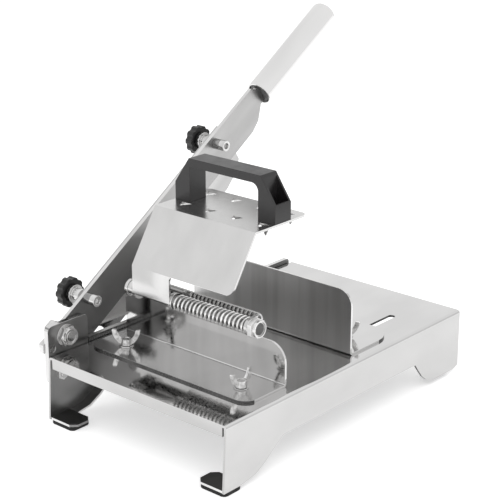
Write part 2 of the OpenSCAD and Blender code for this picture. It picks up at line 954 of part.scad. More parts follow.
spring_path = concat(
    [[spring_x0, coil_point(0)[1], coil_point(0)[2]]],
    [for (i = [0 : coil_steps]) coil_point(i)],
    [[spring_x1, coil_point(coil_steps)[1], coil_point(coil_steps)[2]]]
);

function unit(v) = v / norm(v);

// Direction of the wire at a point: along X at both ends
function wire_dir(i) =
    (i == 0 || i == len(spring_path) - 1) ? [1, 0, 0]
    : unit(unit(spring_path[i + 1] - spring_path[i]) + unit(spring_path[i] - spring_path[i - 1]));

// Outward direction at a point, square to the wire
function wire_out(i) =
    let (
        p = spring_path[i],
        d = wire_dir(i),
        o = [0, p[1] - rod_y, p[2] - rod_z]
    )
    unit(o - d * (o * d));

function wire_ring(i) =
    let (p = spring_path[i], o = wire_out(i), s = cross(wire_dir(i), wire_out(i)))
    [for (k = [0 : wire_sides - 1]) p + wire_r * (cos(360 * k / wire_sides) * o
        + sin(360 * k / wire_sides) * s)];

wire_points = [for (i = [0 : len(spring_path) - 1]) each wire_ring(i)];

// Two triangles for each side between one ring and the next, and a fan at each end
wire_faces = concat(
    [for (i = [0 : len(spring_path) - 2], k = [0 : wire_sides - 1])
        let (a = i * wire_sides + k, b = i * wire_sides + (k + 1) % wire_sides)
        each [[a, a + wire_sides, b], [b, a + wire_sides, b + wire_sides]]],
    [for (k = [1 : wire_sides - 2]) [0, k, k + 1]],
    [for (k = [1 : wire_sides - 2])
        let (e = (len(spring_path) - 1) * wire_sides)
        [e, e + k + 1, e + k]]
);

// Least distance between points of the centre line that are half a curl or more apart
gap_skip = 4;
spring_gap = min([for (i = [0 : len(spring_path) - 1 - gap_skip])
    min([for (j = [i + gap_skip : len(spring_path) - 1]) norm(spring_path[i] - spring_path[j])])
]) - wire_d;

module feed_spring() {
    echo(least_gap_of_spring = spring_gap);
    color(dark_steel_c)
        polyhedron(points = wire_points, faces = wire_faces);
}

// Arm, blade and grip

// Arm outline in its own frame
module arm_outline() {
    tongue_hi = -grip_down + tongue_w / 2;
    tongue_lo = -grip_down - tongue_w / 2;
    union() {
        circle(r = arm_end_r, $fn = round_fn);
        polygon([
            [0, arm_up], [0, -arm_end_r * arm_heel_share], [arm_heel_s, -arm_down], [arm_l, -arm_down],
            [arm_l + taper_l * taper_share, -arm_down + (tongue_lo + arm_down) * taper_share / 2],
            [arm_l + taper_l, tongue_lo], [grip_s0 + tongue_in, tongue_lo],
            [grip_s0 + tongue_in, tongue_hi], [grip_s0 - mouth_gap, tongue_hi],
            [grip_s0 - mouth_gap - (arm_up - tongue_hi), arm_up]
        ]);
    }
}

arm_heel_share = 0.9;
arm_heel_s = 14;
taper_share = 0.5;
mouth_gap = 2.5;

module blade_arm() {
    color(steel_c)
        on_arm()
            difference() {
                along_x(blade_x, arm_x)
                    arm_outline();
                bar_x(blade_x - over, arm_x + over, 0, 0, m10_r + run_gap);
                for (p = knob_places) {
                    bar_x(blade_x - over, arm_x + over, p[0], p[1], m6_r + hole_gap);
                }
            }
}

// Blade outline in the arm's frame, from the back edge to the cutting edge
module blade_outline() {
    polygon([
        [blade_s0, blade_back], [blade_s0, -arm_down + heel_up], [blade_s0 + heel_l, -arm_down - heel_up],
        [blade_s0 + heel_l * heel_share, -blade_down + edge_lift], [blade_s0 + heel_l * 2, -blade_down],
        [blade_s1 - tip_l, -blade_down - blade_drop],
        [blade_s1 - tip_l * tip_share, -blade_down + edge_lift],
        [blade_s1, -blade_down + tip_up], [blade_s1, blade_back - tip_cut],
        [blade_s1 - tip_cut, blade_back]
    ]);
}

arm_back_gap = 0.5;
blade_back = arm_up - arm_back_gap;
heel_up = 6;
heel_l = 9;
heel_share = 1.4;
edge_lift = 1.2;
tip_l = 28;
tip_share = 0.5;
tip_up = 10;
tip_cut = 4;

module blade() {
    color(blade_c)
        on_arm()
            difference() {
                along_x(flange_x, blade_x)
                    blade_outline();
                bevel_cut();
                for (p = knob_places) {
                    bar_x(flange_x - over, blade_x + over, p[0], p[1], m6_r + hole_gap);
                }
            }
}

// Wedge that grinds the outer face down to the cutting edge
module bevel_cut() {
    edge_z = -blade_down - blade_drop;
    along_y(blade_s0 - over, blade_s1 + over)
        polygon([
            [flange_x - over, edge_z + bevel_h], [flange_x, edge_z + bevel_h],
            [blade_x - edge_t, edge_z], [blade_x - edge_t, edge_z - over],
            [flange_x - over, edge_z - over]
        ]);
}

module clamp_screw(p) {
    color(steel_c)
        on_arm()
            socket_screw(clamp_tip, clamp_head_x, p[0], p[1],
                m6_r, m6_cap_r, m6_cap_h, m6_socket_af);
}

module clamp_screw_lower() {
    clamp_screw(knob_places[0]);
}

module clamp_screw_upper() {
    clamp_screw(knob_places[1]);
}

module clamp_collars() {
    color(steel_c)
        on_arm()
            for (p = knob_places) {
                ring_x(arm_x, clamp_head_x, p[0], p[1], collar_r, m6_r + hole_gap);
            }
}

// Flanged sleeve between blade and knob, its disc at the knob
module knob_flanges() {
    color(steel_c)
        on_arm()
            for (p = knob_places) {
                difference() {
                    union() {
                        bar_x(flange_x - flange_t, flange_x, p[0], p[1], flange_hub_r);
                        bar_x(flange_x - flange_t, flange_x - flange_t + flange_disc_t,
                            p[0], p[1], flange_r);
                    }
                    bar_x(flange_x - flange_t - over, flange_x + over, p[0], p[1],
                        m6_r + hole_gap);
                }
            }
}

// Star knob: a round body with lobes, a hub on the arm's side and a blind bore
module star_knob(p) {
    lobe_r = knob_d * lobe_share;
    color(black_c)
        on_arm()
            difference() {
                union() {
                    bar_x(knob_x - sink, knob_x + knob_hub_t, p[0], p[1], knob_hub_r);
                    along_x(knob_x - knob_t, knob_x)
                        translate([p[0], p[1]])
                            difference() {
                                circle(r = knob_d / 2, $fn = round_fn);
                                for (k = [0 : lobes - 1]) {
                                    rotate(360 * (k + half_share) / lobes)
                                        translate([knob_d / 2 + lobe_r * valley_share, 0])
                                            circle(r = lobe_r, $fn = round_fn);
                                }
                            }
                }
                bar_x(clamp_tip - over, knob_x + knob_hub_t + over, p[0], p[1], m6_r + run_gap);
            }
}

lobe_share = 0.13;
valley_share = 0.64;
half_share = 0.5;

module knob_lower() {
    star_knob(knob_places[0]);
}

module knob_upper() {
    star_knob(knob_places[1]);
}

// Grip: a tube with a closed, rounded far end, turned about its own axis
module grip_tube() {
    color(steel_c)
        on_arm()
            translate([arm_mid_x, grip_s0, -grip_down])
                rotate([-90, 0, 0])
                    rotate_extrude($fn = round_fn)
                        difference() {
                            round_rect([0, 0], [grip_r, grip_l], 0, 0, grip_round, 0);
                            rect([-over, -over], [grip_in_r, grip_l - grip_round]);
                        }
}

arm_mid_x = (arm_x + blade_x) / 2;

// Plug inside the tube, with a slot that holds the tongue
module grip_plug() {
    color(black_c)
        on_arm()
            difference() {
                translate([arm_mid_x, grip_s0 + plug_in, -grip_down])
                    rotate([-90, 0, 0])
                        cylinder(h = plug_l, r = grip_in_r - plug_play, $fn = round_fn);
                translate([arm_x + plug_play, grip_s0, -grip_down])
                    mirror([1, 0, 0])
                        translate([0, 0, -tongue_w / 2 - plug_play])
                            cube([arm_t + plug_play * 2, tongue_in + plug_play, tongue_w + plug_play * 2]);
            }
}

// Pusher

push_back_y = rod_y - push_off;
push_fold_z = rod_z + push_fold_h;
push_top_z = rod_z + push_h;
push_top_y = rod_y + push_lean;

// Bent sheet seen from the side, in (Y, Z)
module pusher_profile() {
    slope = atan2(push_top_z - push_fold_z, push_top_y - push_back_y);
    fold_in = push_t * tan((90 - slope) / 2);
    top_in = push_t * tan(slope / 2);
    polygon([
        [push_back_y - push_t, rod_z + push_bottom], [push_back_y - push_t, push_fold_z + fold_in],
        [push_top_y - push_t, push_top_z], [push_top_y + flange_d, push_top_z],
        [push_top_y + flange_d, push_top_z - push_t],
        [push_top_y - push_t + top_in, push_top_z - push_t],
        [push_back_y, push_fold_z], [push_back_y, rod_z + push_bottom]
    ]);
}

// Front silhouette, in (X, Z): the tab, and the wide part above it
module pusher_front() {
    tab_x1 = push_x0 + push_tab_w;
    difference() {
        union() {
            rect([push_x0, rod_z + push_bottom], [tab_x1, push_fold_z + over]);
            round_rect([push_x0, push_fold_z], [push_x1, push_top_z + over], 0, push_corner_r, 0, 0);
            rect([tab_x1 - over, push_fold_z - push_inner_r], [tab_x1 + push_inner_r, push_fold_z + over]);
        }
        translate([tab_x1 + push_inner_r, push_fold_z - push_inner_r])
            circle(r = push_inner_r, $fn = round_fn);
    }
}

// Plan outline, in (X, Y)
module pusher_plan() {
    round_rect([push_x0, push_back_y - push_t - over], [push_x1, push_top_y + flange_d],
        0, 0, push_corner_r, push_corner_r);
}

module pusher_plate() {
    color(steel_c)
        difference() {
            union() {
                intersection() {
                    along_x(push_x0, push_x1)
                        pusher_profile();
                    along_y(push_back_y - push_t - over, push_top_y + flange_d + over)
                        pusher_front();
                    along_z(rod_z + push_bottom - over, push_top_z + over)
                        pusher_plan();
                }
                push_ear(push_x0);
                push_ear(push_ear_x);
                for (k = [0 : barbs - 1]) {
                    barb(barb_x(k), push_top_y + barb_front_in);
                    barb(barb_x(k) - barb_shift, push_top_y + barb_back_in);
                }
            }
            bar_x(push_x0 - over, push_ear_x + push_ear_t + over, rod_y, rod_z, rod_r + run_gap);
            for (k = [0 : barbs - 1]) {
                barb_hole(barb_x(k), push_top_y + barb_front_in);
                barb_hole(barb_x(k) - barb_shift, push_top_y + barb_back_in);
            }
            for (x = handle_screw_xs()) {
                translate([x, handle_y0 + handle_d / 2, push_top_z - push_t - over])
                    cylinder(h = push_t + over * 2, r = m5_r + hole_gap, $fn = round_fn);
            }
        }
}

function barb_x(k) = push_x0 + barb_first + barb_pitch * k;

module push_ear(x) {
    along_x(x, x + push_ear_t)
        union() {
            translate([rod_y, rod_z])
                circle(r = ear_r, $fn = round_fn);
            rect([push_back_y - sink, rod_z + push_bottom], [rod_y, rod_z + ear_r]);
        }
}

// Three-sided hole, its point to the front
module barb_hole(x, y) {
    translate([x, y, push_top_z - push_t - over])
        rotate([0, 0, -90])
            cylinder(h = push_t + over * 2, r = barb_r, $fn = tri_fn);
}

// Barb bent down from the hole's rear side
module barb(x, y) {
    back = y + barb_r / 2;
    along_y(back, back + barb_t)
        polygon([
            [x - barb_w / 2, push_top_z - push_t + sink], [x + barb_w / 2, push_top_z - push_t + sink],
            [x, push_top_z - push_t - barb_l]
        ]);
}

// Handle
handle_edge = 0.5;
pocket_rim = 0.8;
handle_x0 = push_x0;
handle_x1 = push_x1 - handle_edge;
handle_y0 = push_top_y + handle_in;

function handle_screw_xs() = [handle_x0 + leg_l_w / 2, handle_x1 - leg_r_w / 2];

module pusher_handle() {
    z0 = handle_top_z;
    z1 = z0 + handle_h;
    color(black_c)
        difference() {
            along_y(handle_y0, handle_y0 + handle_d)
                difference() {
                    polygon([
                        [handle_x0, z0], [handle_x1, z0], [handle_x1, z0 + shoulder_h],
                        [handle_x1 - shoulder_in, z1], [handle_x0 + shoulder_in, z1],
                        [handle_x0, z0 + shoulder_h]
                    ]);
                    round_rect([handle_x0 + leg_l_w, z0 - over], [handle_x1 - leg_r_w, z1 - bar_h],
                        0, 0, handle_win_r, 0);
                }
            shoulder_pocket(handle_x0, 1, leg_l_w, z0, z1);
            shoulder_pocket(handle_x1, -1, leg_r_w, z0, z1);
            for (x = handle_screw_xs()) {
                translate([x, handle_y0 + handle_d / 2, z0 - over])
                    cylinder(h = handle_screw_deep + over, r = m5_r + run_gap, $fn = round_fn);
            }
        }
}

// Hollow behind a sloping shoulder, in (X, Z), dir points to the handle's middle
module shoulder_pocket(x, dir, leg_w, z0, z1) {
    inner = min(leg_w, shoulder_in) - pocket_wall;
    along_y(handle_y0 + pocket_wall, handle_y0 + handle_d - pocket_wall)
        polygon([
            [x + dir * pocket_wall, z0 + pocket_floor], [x + dir * inner, z0 + pocket_floor],
            [x + dir * inner, z1 + over], [x - dir * over, z1 + over],
            [x - dir * over, z0 + shoulder_h + pocket_rim],
            [x + dir * pocket_wall, z0 + shoulder_h + pocket_rim]
        ]);
}

module handle_screws() {
    y = handle_y0 + handle_d / 2;
    z = push_top_z - push_t;
    color(steel_c)
        for (x = handle_screw_xs()) {
            translate([x, y, z - m5_head_h])
                cylinder(h = m5_head_h, r = m5_head_r, $fn = round_fn);
            translate([x, y, z - sink])
                cylinder(h = push_t + handle_screw_deep, r = m5_r, $fn = round_fn);
        }
}

// One washer between the stop nut and the pusher, one between the pusher and the spring
module thrust_washers() {
    color(steel_c) {
        ring_x(thrust_x, thrust_x + thrust_t, rod_y, rod_z, thrust_r, rod_r + run_gap);
        ring_x(push_ear_x + push_ear_t, spring_x0, rod_y, rod_z, thrust_r, rod_r + run_gap);
    }
}

// Rear guide

module rear_guide() {
    color(dark_steel_c)
        difference() {
            union() {
                along_z(table_z, table_z + guide_t)
                    round_rect([rg_x0, rg_y], [rg_x1, rg_y + rg_foot], 0, 0, rg_foot_r, rg_foot_r);
                along_y(rg_y, rg_y + guide_t)
                    round_rect([rg_x0, table_z], [rg_x1, rg_z], 0, 0, rg_r, rg_r);
            }
            for (side = [-1, 1]) {
                bolt_hole(side * rg_bolt_x, rg_y + rg_bolt_in);
            }
        }
}

module rear_guide_bolts() {
    color(steel_c)
        for (side = [-1, 1]) {
            guide_bolt(side * rg_bolt_x, rg_y + rg_bolt_in);
        }
}

module rear_guide_washers() {
    color(steel_c)
        for (side = [-1, 1]) {
            guide_washer(side * rg_bolt_x, rg_y + rg_bolt_in);
        }
}

base_plate();
foot_pads();
pivot_bracket();
bracket_screws();
bracket_nuts();
pivot_screw();
pivot_spacers();
pivot_nut();
arm_stop_screw();
blade_guide();
blade_guide_screws();
front_guide();
front_guide_bolts();
front_guide_washers();
feed_rod();
rod_stop_nut();
rod_washer();
rod_lock_nut();
feed_spring();
wing_nut_front_left();
wing_nut_front_right();
blade_arm();
blade();
clamp_screw_lower();
clamp_screw_upper();
clamp_collars();
knob_flanges();
knob_lower();
knob_upper();
grip_tube();
grip_plug();
pusher_plate();
pusher_handle();
handle_screws();
thrust_washers();
rear_guide();
rear_guide_bolts();
rear_guide_washers();
wing_nut_rear_left();
wing_nut_rear_right();
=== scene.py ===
"""Looks of a hand-worked frozen meat slicer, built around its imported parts."""
import logging
import math
from dataclasses import dataclass
from enum import Enum
from typing import Iterable, Sequence

import bmesh
import bpy
from mathutils import Matrix, Vector


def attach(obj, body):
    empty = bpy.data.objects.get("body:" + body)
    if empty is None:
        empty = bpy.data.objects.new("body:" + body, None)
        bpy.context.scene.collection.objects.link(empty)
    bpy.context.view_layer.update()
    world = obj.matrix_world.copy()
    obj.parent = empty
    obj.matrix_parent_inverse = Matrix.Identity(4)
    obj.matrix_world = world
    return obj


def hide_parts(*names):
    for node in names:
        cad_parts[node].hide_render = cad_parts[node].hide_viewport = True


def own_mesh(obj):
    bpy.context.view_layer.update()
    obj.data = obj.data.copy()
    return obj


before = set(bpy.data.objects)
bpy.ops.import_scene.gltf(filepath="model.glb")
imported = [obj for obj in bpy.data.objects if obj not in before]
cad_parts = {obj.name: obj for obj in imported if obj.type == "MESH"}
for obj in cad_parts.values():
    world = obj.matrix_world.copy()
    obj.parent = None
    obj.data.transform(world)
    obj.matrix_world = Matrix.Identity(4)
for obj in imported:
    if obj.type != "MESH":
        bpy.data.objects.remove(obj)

LOG = logging.getLogger("slicer")
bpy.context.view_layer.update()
Point = tuple[float, float, float]
Socket = bpy.types.NodeSocket

# One millimetre in metres
MM = 0.001

# Slope of the arm at rest, in degrees
ARM_ANGLE = 33.3

# A place in millimetres that lies past every face
FAR = 999.0

# Colour sockets of the Mix node
MIX_A, MIX_B, MIX_RESULT = 6, 7, 2


class Slot(Enum):
    """Material slots of the record that a piece takes its finish from."""

    STEEL = "steel"
    BOLT = "bolt_steel"
    SPRING = "spring_steel"
    BLADE = "blade_steel"
    BLACK = "black_plastic"
    RUBBER = "pad_rubber"


class Body(Enum):
    """Rigid bodies of the slicer."""

    BASE = "base"
    ARM = "arm"
    LOWER_KNOB = "lower_knob"
    UPPER_KNOB = "upper_knob"
    CARRIAGE = "feed_carriage"
    PUSHER = "pusher"
    REAR = "rear_slide"
    NUT_FL = "nut_front_left"
    NUT_FR = "nut_front_right"
    NUT_RL = "nut_rear_left"
    NUT_RR = "nut_rear_right"


class ShaderGraph:
    """A small builder for one material's nodes."""

    def __init__(self, name: str) -> None:
        """Starts an empty material with a Principled shader.

        Args:
            name: Name of the material.
        """
        self.material = bpy.data.materials.new(name)
        self.material.use_nodes = True
        self.nodes = self.material.node_tree.nodes
        self.links = self.material.node_tree.links
        self.shader = self.nodes["Principled BSDF"]
        self.coords = self.nodes.new("ShaderNodeTexCoord").outputs["Object"]

    def join(self, source: Socket, target: Socket) -> None:
        """Links one socket to another."""
        self.links.new(source, target)

    def mapped(self, scale: Point, turn: Point = (0.0, 0.0, 0.0)) -> Socket:
        """Object coordinates, turned and then stretched.

        Args:
            scale: Stretch of the pattern along each axis.
            turn: Turn of the pattern in radians.

        Returns:
            The socket with the new coordinates.
        """
        turned = self.nodes.new("ShaderNodeMapping")
        turned.inputs["Rotation"].default_value = turn
        self.join(self.coords, turned.inputs["Vector"])
        node = self.nodes.new("ShaderNodeMapping")
        node.inputs["Scale"].default_value = scale
        self.join(turned.outputs["Vector"], node.inputs["Vector"])
        return node.outputs["Vector"]

    def noise(self, vector: Socket, scale: float, detail: float) -> Socket:
        """Noise over the given coordinates.

        Args:
            vector: Coordinates to read.
            scale: Scale of the noise.
            detail: Number of finer layers.

        Returns:
            The socket with the noise's value.
        """
        node = self.nodes.new("ShaderNodeTexNoise")
        node.inputs["Scale"].default_value = scale
        node.inputs["Detail"].default_value = detail
        self.join(vector, node.inputs["Vector"])
        return node.outputs["Fac"]

    def spread(self, value: Socket, low: float, high: float,
               start: float = 0.3, end: float = 0.7) -> Socket:
        """Maps a value from one range to another.

        Args:
            value: Value to map.
            low: Result at the start.
            high: Result at the end.
            start: Value where the range starts.
            end: Value where the range ends.

        Returns:
            The socket with the result.
        """
        node = self.nodes.new("ShaderNodeMapRange")
        self.join(value, node.inputs["Value"])
        numbers = {"From Min": start, "From Max": end, "To Min": low, "To Max": high}
        for name, number in numbers.items():
            node.inputs[name].default_value = number
        return node.outputs["Result"]

    def ramp(self, value: Socket, stops: Sequence[tuple[float, float]]) -> Socket:
        """Grey ramp.

        Args:
            value: Place on the ramp.
            stops: Pairs of place and grey level.

        Returns:
            The socket with the ramp's colour.
        """
        node = self.nodes.new("ShaderNodeValToRGB")
        points = node.color_ramp.elements
        while len(points) < len(stops):
            points.new(0.5)
        for point, (place, grey) in zip(points, stops):
            point.position = place
            point.color = (grey, grey, grey, 1.0)
        self.join(value, node.inputs["Fac"])
        return node.outputs["Color"]

    def times(self, first: Socket, second: Socket) -> Socket:
        """One value times another.

        Args:
            first: First value.
            second: Second value.

        Returns:
            The socket with the product.
        """
        node = self.nodes.new("ShaderNodeMath")
        node.operation = "MULTIPLY"
        self.join(first, node.inputs[0])
        self.join(second, node.inputs[1])
        return node.outputs["Value"]

    def tint(self, grey: Socket, colour: Point) -> Socket:
        """A grey value times a colour.

        Args:
            grey: Grey level.
            colour: Colour at grey level one.

        Returns:
            The socket with the colour.
        """
        node = self.nodes.new("ShaderNodeMix")
        node.data_type = "RGBA"
        node.blend_type = "MULTIPLY"
        node.inputs["Factor"].default_value = 1.0
        self.join(grey, node.inputs[MIX_A])
        node.inputs[MIX_B].default_value = (*colour, 1.0)
        return node.outputs[MIX_RESULT]

    def axis(self, index: int) -> Socket:
        """One Object coordinate.

        Args:
            index: 0 for X, 1 for Y, 2 for Z.

        Returns:
            The socket with the coordinate.
        """
        node = self.nodes.new("ShaderNodeSeparateXYZ")
        self.join(self.coords, node.inputs["Vector"])
        return node.outputs[index]

    def bump(self, height: Socket, strength: float, distance: float) -> None:
        """Puts a bump on the shader.

        Args:
            height: Height of the surface.
            strength: Strength of the bump.
            distance: Height in metres at a value of one.
        """
        node = self.nodes.new("ShaderNodeBump")
        node.inputs["Strength"].default_value = strength
        node.inputs["Distance"].default_value = distance
        self.join(height, node.inputs["Height"])
        self.join(node.outputs["Normal"], self.shader.inputs["Normal"])


@dataclass(frozen=True)
class Pattern:
    """A noise pattern on Object coordinates.

    Attributes:
        stretch: Stretch along each axis.
        scale: Scale of the noise.
        detail: Number of finer layers.
    """

    stretch: Point
    scale: float
    detail: float

    def on(self, graph: ShaderGraph) -> Socket:
        """Adds the pattern to a material's nodes."""
        return graph.noise(graph.mapped(self.stretch), self.scale, self.detail)


STEEL_FINE = Pattern((60.0, 60.0, 60.0), 9.0, 4.0)
STEEL_BRUSHED = Pattern((260.0, 24.0, 260.0), 12.0, 5.0)
PLASTIC_CLOUD = Pattern((30.0, 30.0, 30.0), 3.0, 4.0)


@dataclass(frozen=True)
class Steel:
    """Polished or brushed steel with soft streaks of tone, and an optional painted shade along one
    axis.

    Attributes:
        name: Name of the finish.
        light: Tone of the light streaks.
        dark: Tone of the dark streaks.
        stretch: How the streaks are stretched along each axis.
        rough: Least and greatest roughness.
        turn: Turn of the pattern about X, in degrees.
        shade_bands: Painted shade along one axis: index of the axis, then pairs of place in metres
            and factor of the tone.
        tone: Colour of the metal.
        grain: Strength of the brushed grain.
        metal: Share of bare metal, the rest is a dull skin.
        cloud: Scale of the streaks before they are stretched.
        cloud_ends: Noise values of the darkest and the lightest tone.
        depth: Depth of the brushed grain in metres.
    """

    name: str
    light: float = 0.8
    dark: float = 0.66
    stretch: Point = (1.0, 1.0, 1.0)
    rough: tuple[float, float] = (0.07, 0.13)
    turn: float = 0.0
    shade_bands: tuple[int, tuple[tuple[float, float], ...]] | None = None
    tone: Point = (1.0, 0.995, 0.99)
    grain: float = 0.05
    metal: float = 1.0
    cloud: float = 28.0
    cloud_ends: tuple[float, float] = (0.32, 0.62)
    depth: float = 0.00002

    def material(self) -> bpy.types.Material:
        """Builds the material.

        Returns:
            The new material.
        """
        graph = ShaderGraph(self.name)
        vector = graph.mapped(self.stretch, (math.radians(-self.turn), 0.0, 0.0))
        cloud = graph.noise(vector, self.cloud, detail=2.0)
        grey = graph.ramp(cloud, list(zip(self.cloud_ends, (self.dark, self.light))))
        # Painted shade: the tone is darkened along one axis by a ramp.
        if self.shade_bands is not None:
            index, stops = self.shade_bands
            low, high = stops[0][0], stops[-1][0]
            place = graph.spread(graph.axis(index), 0.0, 1.0, low, high)
            span = high - low
            band = graph.ramp(place, [((at - low) / span, factor) for at, factor in stops])
            grey = graph.times(grey, band)
        graph.join(graph.tint(grey, self.tone), graph.shader.inputs["Base Color"])
        fine = STEEL_FINE.on(graph)
        graph.join(graph.spread(fine, *self.rough), graph.shader.inputs["Roughness"])
        graph.shader.inputs["Metallic"].default_value = self.metal
        graph.bump(STEEL_BRUSHED.on(graph), self.grain, self.depth)
        return graph.material


@dataclass(frozen=True)
class Plastic:
    """Moulded plastic or rubber with a fine skin.

    Attributes:
        name: Name of the finish.
        colour: Colour of the plastic.
        worn: Colour where it is rubbed.
        rough: Least and greatest roughness.
        grain: Scale of the moulded skin.
        depth: Depth of the skin in metres.
        bump: Strength of the skin.
    """

    name: str
    colour: Point
    worn: Point
    rough: tuple[float, float]
    grain: float = 900.0
    depth: float = 0.00004
    bump: float = 0.35

    def material(self) -> bpy.types.Material:
        """Builds the material.

        Returns:
            The new material.
        """
        graph = ShaderGraph(self.name)
        cloud = PLASTIC_CLOUD.on(graph)
        node = graph.nodes.new("ShaderNodeMix")
        node.data_type = "RGBA"
        graph.join(graph.spread(cloud, 0.0, 1.0), node.inputs["Factor"])
        node.inputs[MIX_A].default_value = (*self.colour, 1.0)
        node.inputs[MIX_B].default_value = (*self.worn, 1.0)
        graph.join(node.outputs[MIX_RESULT], graph.shader.inputs["Base Color"])
        graph.join(graph.spread(cloud, *self.rough), graph.shader.inputs["Roughness"])
        skin = Pattern((1.0, 1.0, 1.0), self.grain, detail=3.0)
        graph.bump(skin.on(graph), self.bump, self.depth)
        return graph.material


class Finishes:
    """Makes each finish once and hands it out by name."""

    def __init__(self, finishes: Iterable[Steel | Plastic]) -> None:
        """Builds the materials.

        Args:
            finishes: All the finishes of the slicer.
        """
        self.made = {finish.name: finish.material() for finish in finishes}

    def __getitem__(self, name: str) -> bpy.types.Material:
        """The material of that name."""
        return self.made[name]


@dataclass
class Edge:
    """How the edges of a piece are rounded.

    Attributes:
        width: Width of the rounding in millimetres.
        segments: Number of faces across it.
        angle: Least angle between faces, in degrees.
    """

    width: float
    segments: int
    angle: float = 35.0


def plain_mesh(obj: bpy.types.Object) -> bpy.types.Object:
    """Turns an object with modifiers into a plain mesh.

    Args:
        obj: The object, which is changed in place.

    Returns:
        The same object.
    """
    bpy.context.view_layer.update()
    graph = bpy.context.evaluated_depsgraph_get()
    mesh = bpy.data.meshes.new_from_object(obj.evaluated_get(graph), depsgraph=graph)
    old = obj.data
    obj.modifiers.clear()
    obj.data = mesh
    mesh.name = obj.name
    if old.users == 0:
        bpy.data.meshes.remove(old)
    return obj


def new_object(name: str, mesh: bpy.types.Mesh, material: bpy.types.Material) -> bpy.types.Object:
    """Puts a mesh with one material into the scene.

    Args:
        name: Name of the piece.
        mesh: Its mesh, in the slicer's own frame.
        material: Its material.

    Returns:
        The new object.
    """
    mesh.materials.append(material)
    obj = bpy.data.objects.new(name, mesh)
    bpy.context.scene.collection.objects.link(obj)
    return obj


def soften(obj: bpy.types.Object, edge: Edge) -> bpy.types.Object:
    """Rounds the sharp edges of a piece and evens its shading.

    Args:
        obj: The piece.
        edge: How its edges are rounded.

    Returns:
        The same object as a plain mesh.
    """
    for polygon in obj.data.polygons:
        polygon.use_smooth = True
    bevel = obj.modifiers.new("edges", "BEVEL")
    bevel.width = edge.width * MM
    bevel.segments = edge.segments
    bevel.limit_method = "ANGLE"
    bevel.angle_limit = math.radians(edge.angle)
    bevel.use_clamp_overlap = True
    bevel.miter_outer = "MITER_ARC"
    shade = obj.modifiers.new("shade", "WEIGHTED_NORMAL")
    shade.weight = 60
    return plain_mesh(obj)


def settle(obj: bpy.types.Object, body: Body, nodes: Iterable[str]) -> bpy.types.Object:
    """Ties a finished piece to its body and the nodes that it stands for.

    Args:
        obj: The finished piece.
        body: The body that it moves with.
        nodes: The nodes that it replaces.

    Returns:
        The same object.
    """
    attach(obj, body.value)
    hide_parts(*nodes)
    LOG.info("%s: %d faces on %s", obj.name, len(obj.data.polygons), body.value)
    return obj


@dataclass
class Fold:
    """A fold of a sheet, given by a line along one axis.

    Attributes:
        axis: Index of the axis that the fold runs along.
        place: The two other coordinates in millimetres, in axis order.
        radius: Radius of the fold in millimetres.
    """

    axis: int
    place: tuple[float, float]
    radius: float


@dataclass(frozen=True)
class PaintedLight:
    """Painted light and shade: a lighter or darker finish for the faces that look one way inside a
    box.

    Attributes:
        finish: Name of the finish.
        way: Direction that the faces look in, or nothing for every direction.
        low: Low corner of the box in millimetres.
        high: High corner of the box in millimetres.
        lean: Least cosine between a face and the direction.
    """

    finish: str
    way: Point | None = None
    low: Point = (-FAR, -FAR, -FAR)
    high: Point = (FAR, FAR, FAR)
    lean: float = 0.8

    def covers(self, face: bpy.types.MeshPolygon) -> bool:
        """Whether a face gets this painted light or shade.

        Args:
            face: Face of a piece that isn't rounded yet.

        Returns:
            True for a face inside the box that looks the right way.
        """
        inside = all(low <= at / MM <= high
                     for low, at, high in zip(self.low, face.center, self.high))
        return inside and (self.way is None or face.normal.dot(Vector(self.way)) >= self.lean)


class Shaped:
    """A copy of one node's solid, with its folds and edges rounded.

    Attributes:
        weld: Distance under which corners are joined, in millimetres.
        flat_angle: Angle under which faces count as one, in degrees.
        reach: How near to its line a fold's edge lies, in millimetres.
        fold_segments: Number of faces round a fold.
    """

    weld = 0.002
    flat_angle = 0.6
    reach = 0.05
    fold_segments = 6

    def __init__(self, node: str) -> None:
        """Copies the node and joins its loose triangles.

        Args:
            node: Name of the node.
        """
        self.node = node
        self.bm = bmesh.new()
        self.bm.from_mesh(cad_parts[node].data)
        bmesh.ops.remove_doubles(self.bm, verts=self.bm.verts, dist=self.weld * MM)
        bmesh.ops.dissolve_limit(self.bm, angle_limit=math.radians(self.flat_angle),
                                 verts=self.bm.verts, edges=self.bm.edges)

    def fold(self, folds: Iterable[Fold]) -> "Shaped":
        """Rounds each fold.

        Args:
            folds: The folds, outer and inner sides apart.

        Returns:
            The same shape.
        """
        for item in folds:
            others = [index for index in range(3) if index != item.axis]
            found = [
                edge for edge in self.bm.edges
                if all(abs(vert.co[index] / MM - value) < self.reach
                       for vert in edge.verts for index, value in zip(others, item.place))
            ]
            if not found:
                LOG.warning("%s has no edge at %s", self.node, item.place)
                continue
            bmesh.ops.bevel(self.bm, geom=found, offset=item.radius * MM, offset_type="OFFSET",
                            segments=self.fold_segments, profile=0.5, affect="EDGES",
                            clamp_overlap=True)
        return self

    def done(self, name: str, material: bpy.types.Material, edge: Edge,
             painted_lights: Sequence[tuple[PaintedLight, bpy.types.Material]]) -> bpy.types.Object:
        """Ends the shape as an object.

        Args:
            name: Name of the piece.
            material: Its material.
            edge: How its edges are rounded.
            painted_lights: Painted light and shade, each with its material. A later one covers an
                earlier one.

        Returns:
            The finished piece.
        """
        mesh = bpy.data.meshes.new(name)
        self.bm.to_mesh(mesh)
        self.bm.free()
        piece = new_object(name, mesh, material)
        # Faces that look one way inside a box take a lighter or darker finish: painted light and
        # shade.
        for index, (skin, own) in enumerate(painted_lights, start=1):
            mesh.materials.append(own)
            for face in mesh.polygons:
                if skin.covers(face):
                    face.material_index = index
        return soften(piece, edge)


